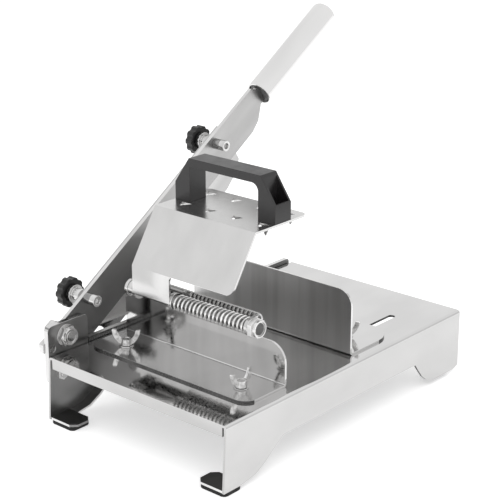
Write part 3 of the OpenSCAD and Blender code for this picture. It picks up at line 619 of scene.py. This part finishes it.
class ShapeTree:
    """A Geometry Nodes tree with named inputs, ended by Realize Instances and Set Material."""

    def __init__(self, name: str, inputs: dict[str, float]) -> None:
        """Starts the tree.

        Args:
            name: Name of the tree.
            inputs: Its sizes by name, in metres unless they are counts.
        """
        self.group = bpy.data.node_groups.new(name, "GeometryNodeTree")
        self.values = inputs
        self.sockets: dict[str, bpy.types.NodeTreeInterfaceSocket] = {}
        face = self.group.interface
        for key, value in inputs.items():
            kind = "NodeSocketInt" if isinstance(value, int) else "NodeSocketFloat"
            self.sockets[key] = face.new_socket(key, in_out="INPUT", socket_type=kind)
        face.new_socket("Geometry", in_out="OUTPUT", socket_type="NodeSocketGeometry")
        self.source = self.group.nodes.new("NodeGroupInput")
        self.sink = self.group.nodes.new("NodeGroupOutput")

    def add(self, kind: str, **settings: object) -> bpy.types.Node:
        """Adds a node.

        Args:
            kind: Type of the node.
            **settings: Properties to set on it.

        Returns:
            The new node.
        """
        node = self.group.nodes.new(kind)
        for key, value in settings.items():
            setattr(node, key, value)
        return node

    def join(self, source: Socket, target: Socket) -> None:
        """Links one socket to another."""
        self.group.links.new(source, target)

    def size(self, key: str, target: Socket) -> None:
        """Feeds a named input to a socket."""
        self.join(self.source.outputs[key], target)

    def build(self, name: str, geometry: Socket, material: bpy.types.Material,
              place: Matrix) -> bpy.types.Object:
        """Ends the tree, runs it and keeps the result as a plain mesh.

        Args:
            name: Name of the piece.
            geometry: The tree's result.
            material: Its material.
            place: Where the result goes, a turn and a shift.

        Returns:
            The finished piece.
        """
        real = self.add("GeometryNodeRealizeInstances")
        paint = self.add("GeometryNodeSetMaterial")
        paint.inputs["Material"].default_value = material
        self.join(geometry, real.inputs["Geometry"])
        self.join(real.outputs["Geometry"], paint.inputs["Geometry"])
        self.join(paint.outputs["Geometry"], self.sink.inputs["Geometry"])
        obj = bpy.data.objects.new(name, bpy.data.meshes.new(name))
        bpy.context.scene.collection.objects.link(obj)
        modifier = obj.modifiers.new("shape", "NODES")
        modifier.node_group = self.group
        for key, socket in self.sockets.items():
            modifier[socket.identifier] = self.values[key]
        plain_mesh(obj)
        obj.data.transform(place)
        for polygon in obj.data.polygons:
            polygon.use_smooth = True
        return obj


@dataclass
class Coil:
    """A round wire wound about a line along X.

    Attributes:
        x0: Left end in millimetres.
        x1: Right end in millimetres.
        y: Place of the line in millimetres.
        z: Height of the line in millimetres.
        radius: Radius of the wire's centre line.
        wire: Radius of the wire.
        turns: Number of turns.
        phase: Turn of the start about the line, in degrees.
        sides: Number of faces round the wire.
        steps: Number of points in each turn.
    """

    x0: float
    x1: float
    y: float
    z: float
    radius: float
    wire: float
    turns: float
    phase: float = 0.0
    sides: int = 12
    steps: int = 28

    def build(self, name: str, material: bpy.types.Material) -> bpy.types.Object:
        """Winds the wire.

        Args:
            name: Name of the piece.
            material: Its material.

        Returns:
            The finished piece.
        """
        tree = ShapeTree(name + "_shape", {
            "Radius": self.radius * MM, "Wire radius": self.wire * MM,
            "Height": (self.x1 - self.x0) * MM, "Turns": float(self.turns), "Steps": self.steps,
            "Sides": self.sides,
        })
        spiral = tree.add("GeometryNodeCurveSpiral")
        for key, socket in (("Steps", "Resolution"), ("Turns", "Rotations"), ("Height", "Height"),
                            ("Radius", "Start Radius"), ("Radius", "End Radius")):
            tree.size(key, spiral.inputs[socket])
        ring = tree.add("GeometryNodeCurvePrimitiveCircle")
        tree.size("Sides", ring.inputs["Resolution"])
        tree.size("Wire radius", ring.inputs["Radius"])
        tube = tree.add("GeometryNodeCurveToMesh")
        tube.inputs["Fill Caps"].default_value = True
        tree.join(spiral.outputs["Curve"], tube.inputs["Curve"])
        tree.join(ring.outputs["Curve"], tube.inputs["Profile Curve"])
        place = (Matrix.Translation((self.x0 * MM, self.y * MM, self.z * MM))
                 @ Matrix.Rotation(math.radians(90), 4, "Y")
                 @ Matrix.Rotation(math.radians(self.phase), 4, "Z"))
        return tree.build(name, tube.outputs["Mesh"], material, place)


@dataclass
class Part:
    """Base class of a sub-assembly.

    Attributes:
        finishes: The slicer's finishes.
    """

    finishes: Finishes

    def copy(self, node: str, finish: str, body: Body, slot: Slot, edge: Edge,
             folds: Sequence[Fold] = (), painted_lights: Sequence[PaintedLight] = ()) -> bpy.types.Object:
        """A rounded piece in place of one node.

        Args:
            node: Name of the node.
            finish: Name of the finish.
            body: The body that the piece moves with.
            slot: The record's slot, not used.
            edge: How its edges are rounded.
            folds: Folds with their own radius.
            painted_lights: Faces with painted light or shade, a lighter or darker finish of their
                own.

        Returns:
            The finished piece.
        """
        shape = Shaped(node).fold(folds)
        dressed = [(skin, self.finishes[skin.finish]) for skin in painted_lights]
        piece = shape.done(node + "_dressed", self.finishes[finish], edge, dressed)
        return settle(piece, body, [node])


@dataclass
class Table(Part):
    """The bent table with its legs, pads, blade guide and pivot bracket.

    Attributes:
        half_width: Half the table's width.
        half_depth: Half the table's depth.
        top: Height of the table's top.
        tab_top: Height of the foot tabs' upper side.
        sheet: Thickness of the sheet.
        bend: Outer radius of the folds at the lips.
        inner_bend: Inner radius of those folds.
        lip_low: Height from which the front lip has its painted shade.
        front: Y before the foremost face.
        rear_leg: Y between the front and the back edges of the rear legs.
        holes: Box round the slots' walls, which get painted shade.
    """

    half_width: float = 100.0
    half_depth: float = 158.0
    top: float = 60.0
    tab_top: float = 6.0
    sheet: float = 2.0
    bend: float = 2.6
    inner_bend: float = 1.0
    lip_low: float = 40.0
    front: float = -165.0
    rear_leg: float = 150.0
    holes: tuple[Point, Point] = ((-75.0, -45.0, 57.9), (75.0, 112.0, 59.9))

    def folds(self) -> list[Fold]:
        """The folds between the top and its two lips, outer and inner sides.

        Returns:
            The folds, the front ones first.
        """
        folds = []
        for side in (-1, 1):
            folds.append(Fold(0, (side * self.half_depth, self.top), self.bend))
            folds.append(Fold(0, (side * (self.half_depth - self.sheet), self.top - self.sheet),
                              self.inner_bend))
        return folds

    def painted_lights(self) -> list[PaintedLight]:
        """Painted light and shade: darker right panel, front lip, insides, inner faces of the lips
        and legs, slot walls and foot tabs, and lighter front faces of the tabs.

        Returns:
            The painted light and shade. A later one covers an earlier one.
        """
        inner, low = self.half_width - self.sheet, self.tab_top + 1.0
        within, past = self.half_width - 1.0, self.half_width + 1.0
        under, fold_low = self.top - self.sheet, self.top - 3.0
        front_low = (-past, self.front, low)
        return [
            PaintedLight("panel_shade_steel", (1, 0, 0), (within, -FAR, low)),
            PaintedLight("lip_shade_steel", (0, -1, 0), (-FAR, -self.half_depth - 1.0, self.lip_low)),
            PaintedLight("inside_shade_steel", (0, 0, -1), high=(FAR, FAR, self.top - 1.0)),
            PaintedLight("inside_shade_steel", (-1, 0, 0), (inner - 1.0, -FAR, low), (inner + 1.0, FAR, under)),
            PaintedLight("inside_shade_steel", (1, 0, 0), (-inner - 1.0, -FAR, low), (1.0 - inner, FAR, under)),
            PaintedLight("darkest_shade_steel", (0, 1, 0), front_low, (past, 0.0, fold_low), 0.2),
            PaintedLight("darkest_shade_steel", (0, -1, 0), (-past, 0.0, low), (past, self.rear_leg, fold_low), 0.2),
            PaintedLight("darkest_shade_steel", (0, 0, -1), front_low, (past, self.half_depth + 2.0, fold_low), 0.3),
            PaintedLight("deep_shade_steel", None, *self.holes),
            PaintedLight("tab_shade_steel", None, (-within, self.front, 0.0), (within, -self.front, low)),
            PaintedLight("highlight_steel", (0, -1, 0), (-within, self.front, 4.0), (within, -self.front, low)),
        ]

    def build(self) -> None:
        """Makes the table and all that is fixed on it."""
        folds, painted_lights = self.folds(), self.painted_lights()
        self.copy("base_plate", "table_steel", Body.BASE, Slot.STEEL, Edge(0.28, 2), folds, painted_lights)
        self.copy("foot_pads", "pad_rubber", Body.BASE, Slot.RUBBER, Edge(0.8, 3))
        # The bracket's faces that look forward or up and the blade guide's faces that look up get a
        # lighter finish: painted highlight.
        self.copy("pivot_bracket", "bracket_steel", Body.BASE, Slot.STEEL, Edge(0.6, 3),
                  painted_lights=[PaintedLight("highlight_steel", (0, -1, 0)), PaintedLight("highlight_steel", (0, 0, 1))])
        self.copy("blade_guide", "shade_steel", Body.BASE, Slot.STEEL, Edge(0.5, 3),
                  painted_lights=[PaintedLight("highlight_steel", (0, 0, 1))])
        for node in ("bracket_screws", "bracket_nuts", "blade_guide_screws"):
            self.copy(node, "bolt_steel", Body.BASE, Slot.BOLT, Edge(0.35, 2))


@dataclass
class Pivot(Part):
    """The screw that the arm swings on, with its washers, nut and stop screw."""

    def build(self) -> None:
        """Makes the pivot's pieces."""
        self.copy("pivot_screw", "bolt_steel", Body.BASE, Slot.BOLT, Edge(0.7, 3))
        self.copy("pivot_spacers", "bolt_steel", Body.BASE, Slot.BOLT, Edge(0.25, 2))
        self.copy("pivot_nut", "bolt_steel", Body.BASE, Slot.BOLT, Edge(0.5, 2))
        self.copy("arm_stop_screw", "bolt_steel", Body.BASE, Slot.BOLT, Edge(0.5, 2))


@dataclass
class Arm(Part):
    """The swinging arm with its blade, clamp screws, flanges, knobs and grip."""

    def build(self) -> None:
        """Makes the arm's pieces."""
        # The arm's faces that look up get a lighter finish, painted highlight, and those that look
        # down a dark one, painted shade.
        angle = math.radians(ARM_ANGLE)
        upper = (0.0, -math.sin(angle), math.cos(angle))
        lower = (0.0, math.sin(angle), -math.cos(angle))
        self.copy("blade_arm", "arm_steel", Body.ARM, Slot.STEEL, Edge(0.35, 3),
                  painted_lights=[PaintedLight("highlight_steel", upper), PaintedLight("darkest_shade_steel", lower)])
        self.copy("blade", "blade_steel", Body.ARM, Slot.BLADE, Edge(0.12, 2, 20.0))
        for node in ("clamp_screw_lower", "clamp_screw_upper"):
            self.copy(node, "bolt_steel", Body.ARM, Slot.BOLT, Edge(0.6, 3))
        self.copy("clamp_collars", "collar_steel", Body.ARM, Slot.BOLT, Edge(0.4, 2))
        self.copy("knob_flanges", "bolt_steel", Body.ARM, Slot.BOLT, Edge(0.5, 3))
        self.copy("grip_tube", "grip_steel", Body.ARM, Slot.STEEL, Edge(0.4, 2))
        self.copy("grip_plug", "plug_plastic", Body.ARM, Slot.BLACK, Edge(0.4, 2))
        self.copy("knob_lower", "black_plastic", Body.LOWER_KNOB, Slot.BLACK, Edge(1.1, 4))
        self.copy("knob_upper", "black_plastic", Body.UPPER_KNOB, Slot.BLACK, Edge(1.1, 4))


@dataclass
class FrontGuide(Part):
    """The fixed guide with its ears, bolts and wing nuts.

    Attributes:
        wall: Y of the wall's front face.
        front: Y before the foot's front edge.
        sheet: Thickness of the sheet.
        table: Height of the table's top.
        bend: Outer radius of the fold.
        inner_bend: Inner radius of the fold.
    """

    wall: float = -75.0
    front: float = -125.0
    sheet: float = 2.0
    table: float = 60.0
    bend: float = 3.2
    inner_bend: float = 1.2

    def build(self) -> None:
        """Makes the front guide's pieces."""
        above = self.table + self.sheet + 1.0
        folds = [
            Fold(0, (self.wall + self.sheet, self.table), self.bend),
            Fold(0, (self.wall, self.table + self.sheet), self.inner_bend),
        ]
        # Painted light and shade: the wall's top is lighter, painted highlight; the foot's front
        # faces and its top are darker, painted shade.
        painted_lights = [
            PaintedLight("highlight_steel", (0, 0, 1), (-FAR, self.wall - 1.0, above)),
            PaintedLight("deep_shade_steel", (0, -1, 0), (-FAR, self.front, self.table - 1.0),
                 (FAR, self.wall - 30.0, above), 0.2),
            PaintedLight("panel_shade_steel", (0, 0, 1), (-FAR, self.front, self.table + 1.0),
                 (FAR, self.wall - 1.0, above)),
        ]
        self.copy("front_guide", "front_guide_steel", Body.BASE, Slot.STEEL, Edge(0.3, 2),
                  folds, painted_lights)
        self.copy("front_guide_bolts", "bolt_steel", Body.BASE, Slot.BOLT, Edge(0.4, 2))
        self.copy("front_guide_washers", "bolt_steel", Body.BASE, Slot.BOLT, Edge(0.3, 2))
        self.copy("wing_nut_front_left", "wing_steel", Body.NUT_FL, Slot.BOLT, Edge(0.7, 3))
        self.copy("wing_nut_front_right", "wing_steel", Body.NUT_FR, Slot.BOLT, Edge(0.7, 3))


@dataclass
class Feed(Part):
    """The rod with its nuts, and the spring wound round it.

    Attributes:
        rod_y: Y of the rod.
        rod_z: Height of the rod.
        spring_x0: Left end of the spring.
        spring_x1: Right end of the spring, which stays in place.
        coil_radius: Radius of the wire's centre line.
        wire: Radius of the wire.
        curls: Number of turns.
        start: Turn of the wire's start about the rod, in degrees.
        travel: How far the pusher shortens the spring, not used.
    """

    rod_y: float = -83.5
    rod_z: float = 107.5
    spring_x0: float = -22.0
    spring_x1: float = 58.0
    coil_radius: float = 6.35
    wire: float = 0.95
    curls: int = 18
    start: float = 90.0
    travel: float = 40.0

    def build(self) -> None:
        """Makes the rod and the spring."""
        # The rod's right end gets a dark finish: painted shade.
        self.copy("feed_rod", "rod_steel", Body.BASE, Slot.BOLT, Edge(0.5, 2),
                  painted_lights=[PaintedLight("darkest_shade_steel", (1, 0, 0))])
        for node in ("rod_stop_nut", "rod_washer", "rod_lock_nut"):
            self.copy(node, "bolt_steel", Body.BASE, Slot.BOLT, Edge(0.5, 2))
        self.copy("thrust_washers", "bolt_steel", Body.CARRIAGE, Slot.BOLT, Edge(0.25, 2))
        coil = Coil(self.spring_x0 + self.wire, self.spring_x1 - self.wire, self.rod_y, self.rod_z,
                    self.coil_radius, self.wire, self.curls, self.start)
        spring = coil.build("feed_spring_wire", self.finishes["spring_steel"])
        settle(spring, Body.BASE, ["feed_spring"])
        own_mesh(spring)


@dataclass
class Pusher(Part):
    """The sheet with its barbs that presses on the meat, and its moulded handle."""

    def build(self) -> None:
        """Makes the pusher's pieces."""
        self.copy("pusher_plate", "pusher_steel", Body.PUSHER, Slot.STEEL, Edge(0.3, 2))
        self.copy("pusher_handle", "handle_plastic", Body.PUSHER, Slot.BLACK, Edge(1.2, 4))
        self.copy("handle_screws", "bolt_steel", Body.PUSHER, Slot.BOLT, Edge(0.4, 2))


@dataclass
class RearGuide(Part):
    """The guide that slides in the table's slots.

    Attributes:
        wall: Y of the wall's front face.
        sheet: Thickness of the sheet.
        table: Height of the table's top.
        bend: Outer radius of the fold.
        inner_bend: Inner radius of the fold.
    """

    wall: float = 9.0
    sheet: float = 2.0
    table: float = 60.0
    bend: float = 3.2
    inner_bend: float = 1.2

    def build(self) -> None:
        """Makes the rear guide's pieces."""
        above = self.table + self.sheet + 1.0
        folds = [
            Fold(0, (self.wall, self.table), self.bend),
            Fold(0, (self.wall + self.sheet, self.table + self.sheet), self.inner_bend),
        ]
        # Painted light and shade: the foot's top takes the table's lighter finish and its right
        # edge a dark one; the wall's top and right end are lighter, painted highlight; its back
        # takes the front guide's finish.
        painted_lights = [
            PaintedLight("table_steel", (0, 0, 1), (-FAR, self.wall + 3.0, self.table + 1.0),
                 (FAR, FAR, above)),
            PaintedLight("darkest_shade_steel", (1, 0, 0), (-FAR, self.wall + 5.0, self.table + 0.1),
                 (FAR, FAR, self.table + 1.9), 0.2),
            PaintedLight("highlight_steel", (0, 0, 1), (-FAR, self.wall, above)),
            PaintedLight("highlight_steel", (1, 0, 0), (-FAR, -FAR, above)),
            PaintedLight("front_guide_steel", (0, 1, 0), (-FAR, self.wall + 1.0, above)),
        ]
        self.copy("rear_guide", "rear_guide_steel", Body.REAR, Slot.STEEL, Edge(0.3, 2),
                  folds, painted_lights)
        self.copy("rear_guide_bolts", "bolt_steel", Body.REAR, Slot.BOLT, Edge(0.4, 2))
        self.copy("rear_guide_washers", "bolt_steel", Body.REAR, Slot.BOLT, Edge(0.3, 2))
        self.copy("wing_nut_rear_left", "wing_steel", Body.NUT_RL, Slot.BOLT, Edge(0.7, 3))
        self.copy("wing_nut_rear_right", "wing_steel", Body.NUT_RR, Slot.BOLT, Edge(0.7, 3))


@dataclass
class Studio:
    """Floor, world, lamps and camera.

    Attributes:
        camera_at: Place of the camera in metres.
        pitch: How far the camera looks down, in degrees.
        yaw: Turn of the camera about Z, in degrees.
        lens: Focal length in millimetres.
        sensor: Width of the sensor in millimetres.
        reach: How far the camera sees, in metres.
        floor_size: Side of the floor in metres.
        floor_grey: Grey level of the floor.
        floor_rough: Roughness of the floor.
        floor_gloss: Strength of the floor's gloss.
        floor_lift: Light that the floor adds where it is seen.
        world_light: Strength of the world's soft light.
        aim: Point in metres that the lamps look at.
    """

    camera_at: Point = (0.75801, -0.88318, 0.54157)
    pitch: float = 19.204
    yaw: float = 41.179
    lens: float = 103.95
    sensor: float = 36.0
    reach: float = 20.0
    floor_size: float = 6.0
    floor_grey: float = 0.86
    floor_rough: float = 0.9
    floor_gloss: float = 0.1
    floor_lift: float = 0.55
    world_light: float = 0.55
    aim: Point = (0.0, 0.0, 0.1)

    def build(self) -> None:
        """Makes the whole set."""
        self.make_world()
        self.make_floor()
        self.make_lamps()
        self.make_camera()
        bpy.context.scene.view_settings.view_transform = "Standard"

    @staticmethod
    def seen(tree: bpy.types.NodeTree, kinds: Sequence[str]) -> Socket:
        """Tells rays of some kinds from all others.

        Args:
            tree: The tree that gets the nodes.
            kinds: Names of the kinds, as the Light Path node has them.

        Returns:
            The socket, with one for a ray of those kinds and zero for any other.
        """
        path = tree.nodes.new("ShaderNodeLightPath")
        found = path.outputs[kinds[0]]
        for kind in kinds[1:]:
            either = tree.nodes.new("ShaderNodeMath")
            either.operation = "MAXIMUM"
            tree.links.new(found, either.inputs[0])
            tree.links.new(path.outputs[kind], either.inputs[1])
            found = either.outputs[0]
        return found

    def make_world(self) -> None:
        """World that is white where it is seen, also in metal, and lights the rest softly."""
        world = bpy.data.worlds.new("studio")
        bpy.context.scene.world = world
        world.use_nodes = True
        nodes, links = world.node_tree.nodes, world.node_tree.links
        nodes.clear()
        seen = self.seen(world.node_tree, ("Is Camera Ray", "Is Glossy Ray", "Is Transmission Ray"))
        soft = nodes.new("ShaderNodeBackground")
        soft.inputs["Color"].default_value = (1.0, 1.0, 1.0, 1.0)
        soft.inputs["Strength"].default_value = self.world_light
        white = nodes.new("ShaderNodeBackground")
        white.inputs["Color"].default_value = (1.0, 1.0, 1.0, 1.0)
        mix = nodes.new("ShaderNodeMixShader")
        links.new(seen, mix.inputs[0])
        links.new(soft.outputs[0], mix.inputs[1])
        links.new(white.outputs[0], mix.inputs[2])
        out = nodes.new("ShaderNodeOutputWorld")
        links.new(mix.outputs[0], out.inputs["Surface"])

    def make_floor(self) -> None:
        """Pale floor that keeps the object's shadow."""
        mesh = bpy.data.meshes.new("floor")
        half = self.floor_size / 2
        corners = [(-half, -half, 0), (half, -half, 0), (half, half, 0), (-half, half, 0)]
        mesh.from_pydata(corners, [], [(0, 1, 2, 3)])
        material = bpy.data.materials.new("floor")
        material.use_nodes = True
        nodes, links = material.node_tree.nodes, material.node_tree.links
        shader = nodes["Principled BSDF"]
        grey = self.floor_grey
        shader.inputs["Base Color"].default_value = (grey, grey, grey, 1.0)
        shader.inputs["Roughness"].default_value = self.floor_rough
        shader.inputs["Specular IOR Level"].default_value = self.floor_gloss
        lift = nodes.new("ShaderNodeMath")
        lift.operation = "MULTIPLY"
        lift.inputs[1].default_value = self.floor_lift
        seen = self.seen(material.node_tree, ("Is Camera Ray", "Is Glossy Ray"))
        links.new(seen, lift.inputs[0])
        shader.inputs["Emission Color"].default_value = (1.0, 1.0, 1.0, 1.0)
        links.new(lift.outputs[0], shader.inputs["Emission Strength"])
        floor = new_object("floor", mesh, material)

    def make_lamps(self) -> None:
        """Three large soft lamps."""
        self.lamp("key", (0.9, -0.7, 1.5), size=1.2, power=11.0)
        self.lamp("fill", (-1.3, -0.9, 1.0), size=1.4, power=6.0)
        self.lamp("back", (-0.2, 1.4, 1.4), size=1.4, power=7.0)

    def lamp(self, name: str, place: Point, size: float, power: float) -> None:
        """One square lamp that looks at the object.

        Args:
            name: Name of the lamp.
            place: Where it hangs, in metres.
            size: Length of its side in metres.
            power: Power in watts.
        """
        data = bpy.data.lights.new(name, "AREA")
        data.size = size
        data.energy = power
        obj = bpy.data.objects.new(name, data)
        obj.visible_glossy = False
        obj.location = place
        obj.rotation_euler = (Vector(self.aim) - Vector(place)).to_track_quat("-Z", "Y").to_euler()
        bpy.context.scene.collection.objects.link(obj)

    def make_camera(self) -> None:
        """Camera at the photograph's viewpoint."""
        data = bpy.data.cameras.new("camera")
        data.lens = self.lens
        data.sensor_width = self.sensor
        data.clip_end = self.reach
        camera = bpy.data.objects.new("camera", data)
        camera.location = self.camera_at
        camera.rotation_euler = (math.radians(90.0 - self.pitch), 0.0, math.radians(self.yaw))
        bpy.context.scene.collection.objects.link(camera)
        bpy.context.scene.camera = camera


def all_finishes() -> Finishes:
    """Every finish of the slicer, by its place on it.

    Returns:
        The finishes, ready to hand out.
    """
    return Finishes([
        Steel("table_steel", 0.68, 0.63, (1.0, 0.5, 1.0), (0.05, 0.1)),
        # Darker copies of the steel for the side panel, lip, insides, inner faces and slot walls:
        # painted shade.
        Steel("panel_shade_steel", 0.57, 0.53, (1.0, 0.5, 1.0), (0.1, 0.16)),
        Steel("lip_shade_steel", 0.54, 0.46, (0.5, 1.0, 1.0), (0.1, 0.16)),
        Steel("inside_shade_steel", 0.3, 0.22, (1.0, 0.6, 1.0), (0.3, 0.4)),
        Steel("darkest_shade_steel", 0.1, 0.06, (2.0, 2.0, 2.0), (0.2, 0.3)),
        Steel("deep_shade_steel", 0.14, 0.09, (2.0, 2.0, 2.0), (0.2, 0.3)),
        Steel("collar_steel", 0.36, 0.24, (3.0, 3.0, 3.0), (0.16, 0.26)),
        # Darker foot tabs near the floor: painted shade.
        Steel("tab_shade_steel", 0.25, 0.18, (2.0, 2.0, 2.0), (0.3, 0.4)),
        # Lighter copy for faces that look up or forward: painted highlight.
        Steel("highlight_steel", 0.78, 0.62, (1.0, 0.4, 1.0), (0.12, 0.2)),
        Steel("shade_steel", 0.22, 0.14, (1.0, 0.5, 1.0), (0.2, 0.3)),
        Steel("bracket_steel", 0.32, 0.24, (1.0, 0.6, 0.4), (0.28, 0.32), grain=0.002),
        Steel("front_guide_steel", 0.66, 0.58, (2.0, 1.0, 0.3), (0.06, 0.12)),
        Steel("rear_guide_steel", 0.62, 0.5, (3.0, 1.0, 0.15), (0.3, 0.38)),
        Steel("pusher_steel", 0.66, 0.62, (1.5, 1.5, 0.5), (0.2, 0.24), grain=0.005),
        # The arm is darker towards the bottom: painted shade.
        Steel("arm_steel", 0.5, 0.42, (1.0, 0.3, 1.5), (0.31, 0.35), ARM_ANGLE,
              (2, ((0.06, 0.42), (0.1, 0.5), (0.15, 0.8), (0.2, 1.0), (0.32, 1.0))), grain=0.004),
        Steel("blade_steel", 0.55, 0.4, (1.0, 0.2, 1.0), (0.12, 0.2), ARM_ANGLE),
        Steel("grip_steel", 0.8, 0.7, (1.0, 0.2, 1.0), (0.1, 0.18), ARM_ANGLE),
        Steel("bolt_steel", 0.75, 0.5, (3.0, 3.0, 3.0), (0.1, 0.2)),
        Steel("wing_steel", 0.95, 0.5, (9.0, 9.0, 9.0), (0.1, 0.18), metal=0.85),
        Steel("rod_steel", 0.6, 0.45, (1.0, 4.0, 4.0), (0.12, 0.2)),
        Steel("spring_steel", 0.92, 0.6, (4.0, 4.0, 4.0), (0.1, 0.18)),
        Plastic("black_plastic", (0.007, 0.007, 0.007), (0.012, 0.012, 0.012), (0.3, 0.42)),
        Plastic("handle_plastic", (0.012, 0.011, 0.0115), (0.019, 0.018, 0.0185), (0.28, 0.4)),
        Plastic("plug_plastic", (0.14, 0.14, 0.14), (0.2, 0.2, 0.2), (0.4, 0.55)),
        Plastic("pad_rubber", (0.004, 0.004, 0.004), (0.008, 0.008, 0.008), (0.65, 0.85)),
    ])


def main() -> None:
    """Builds the slicer's sub-assemblies in order, then the studio."""
    logging.basicConfig(level=logging.INFO, format="%(name)s: %(message)s")
    finishes = all_finishes()
    for part in (Table, Pivot, Arm, FrontGuide, Feed, Pusher, RearGuide):
        LOG.info("building %s", part.__name__)
        part(finishes).build()
    Studio().build()


if __name__ == "__main__":
    main()
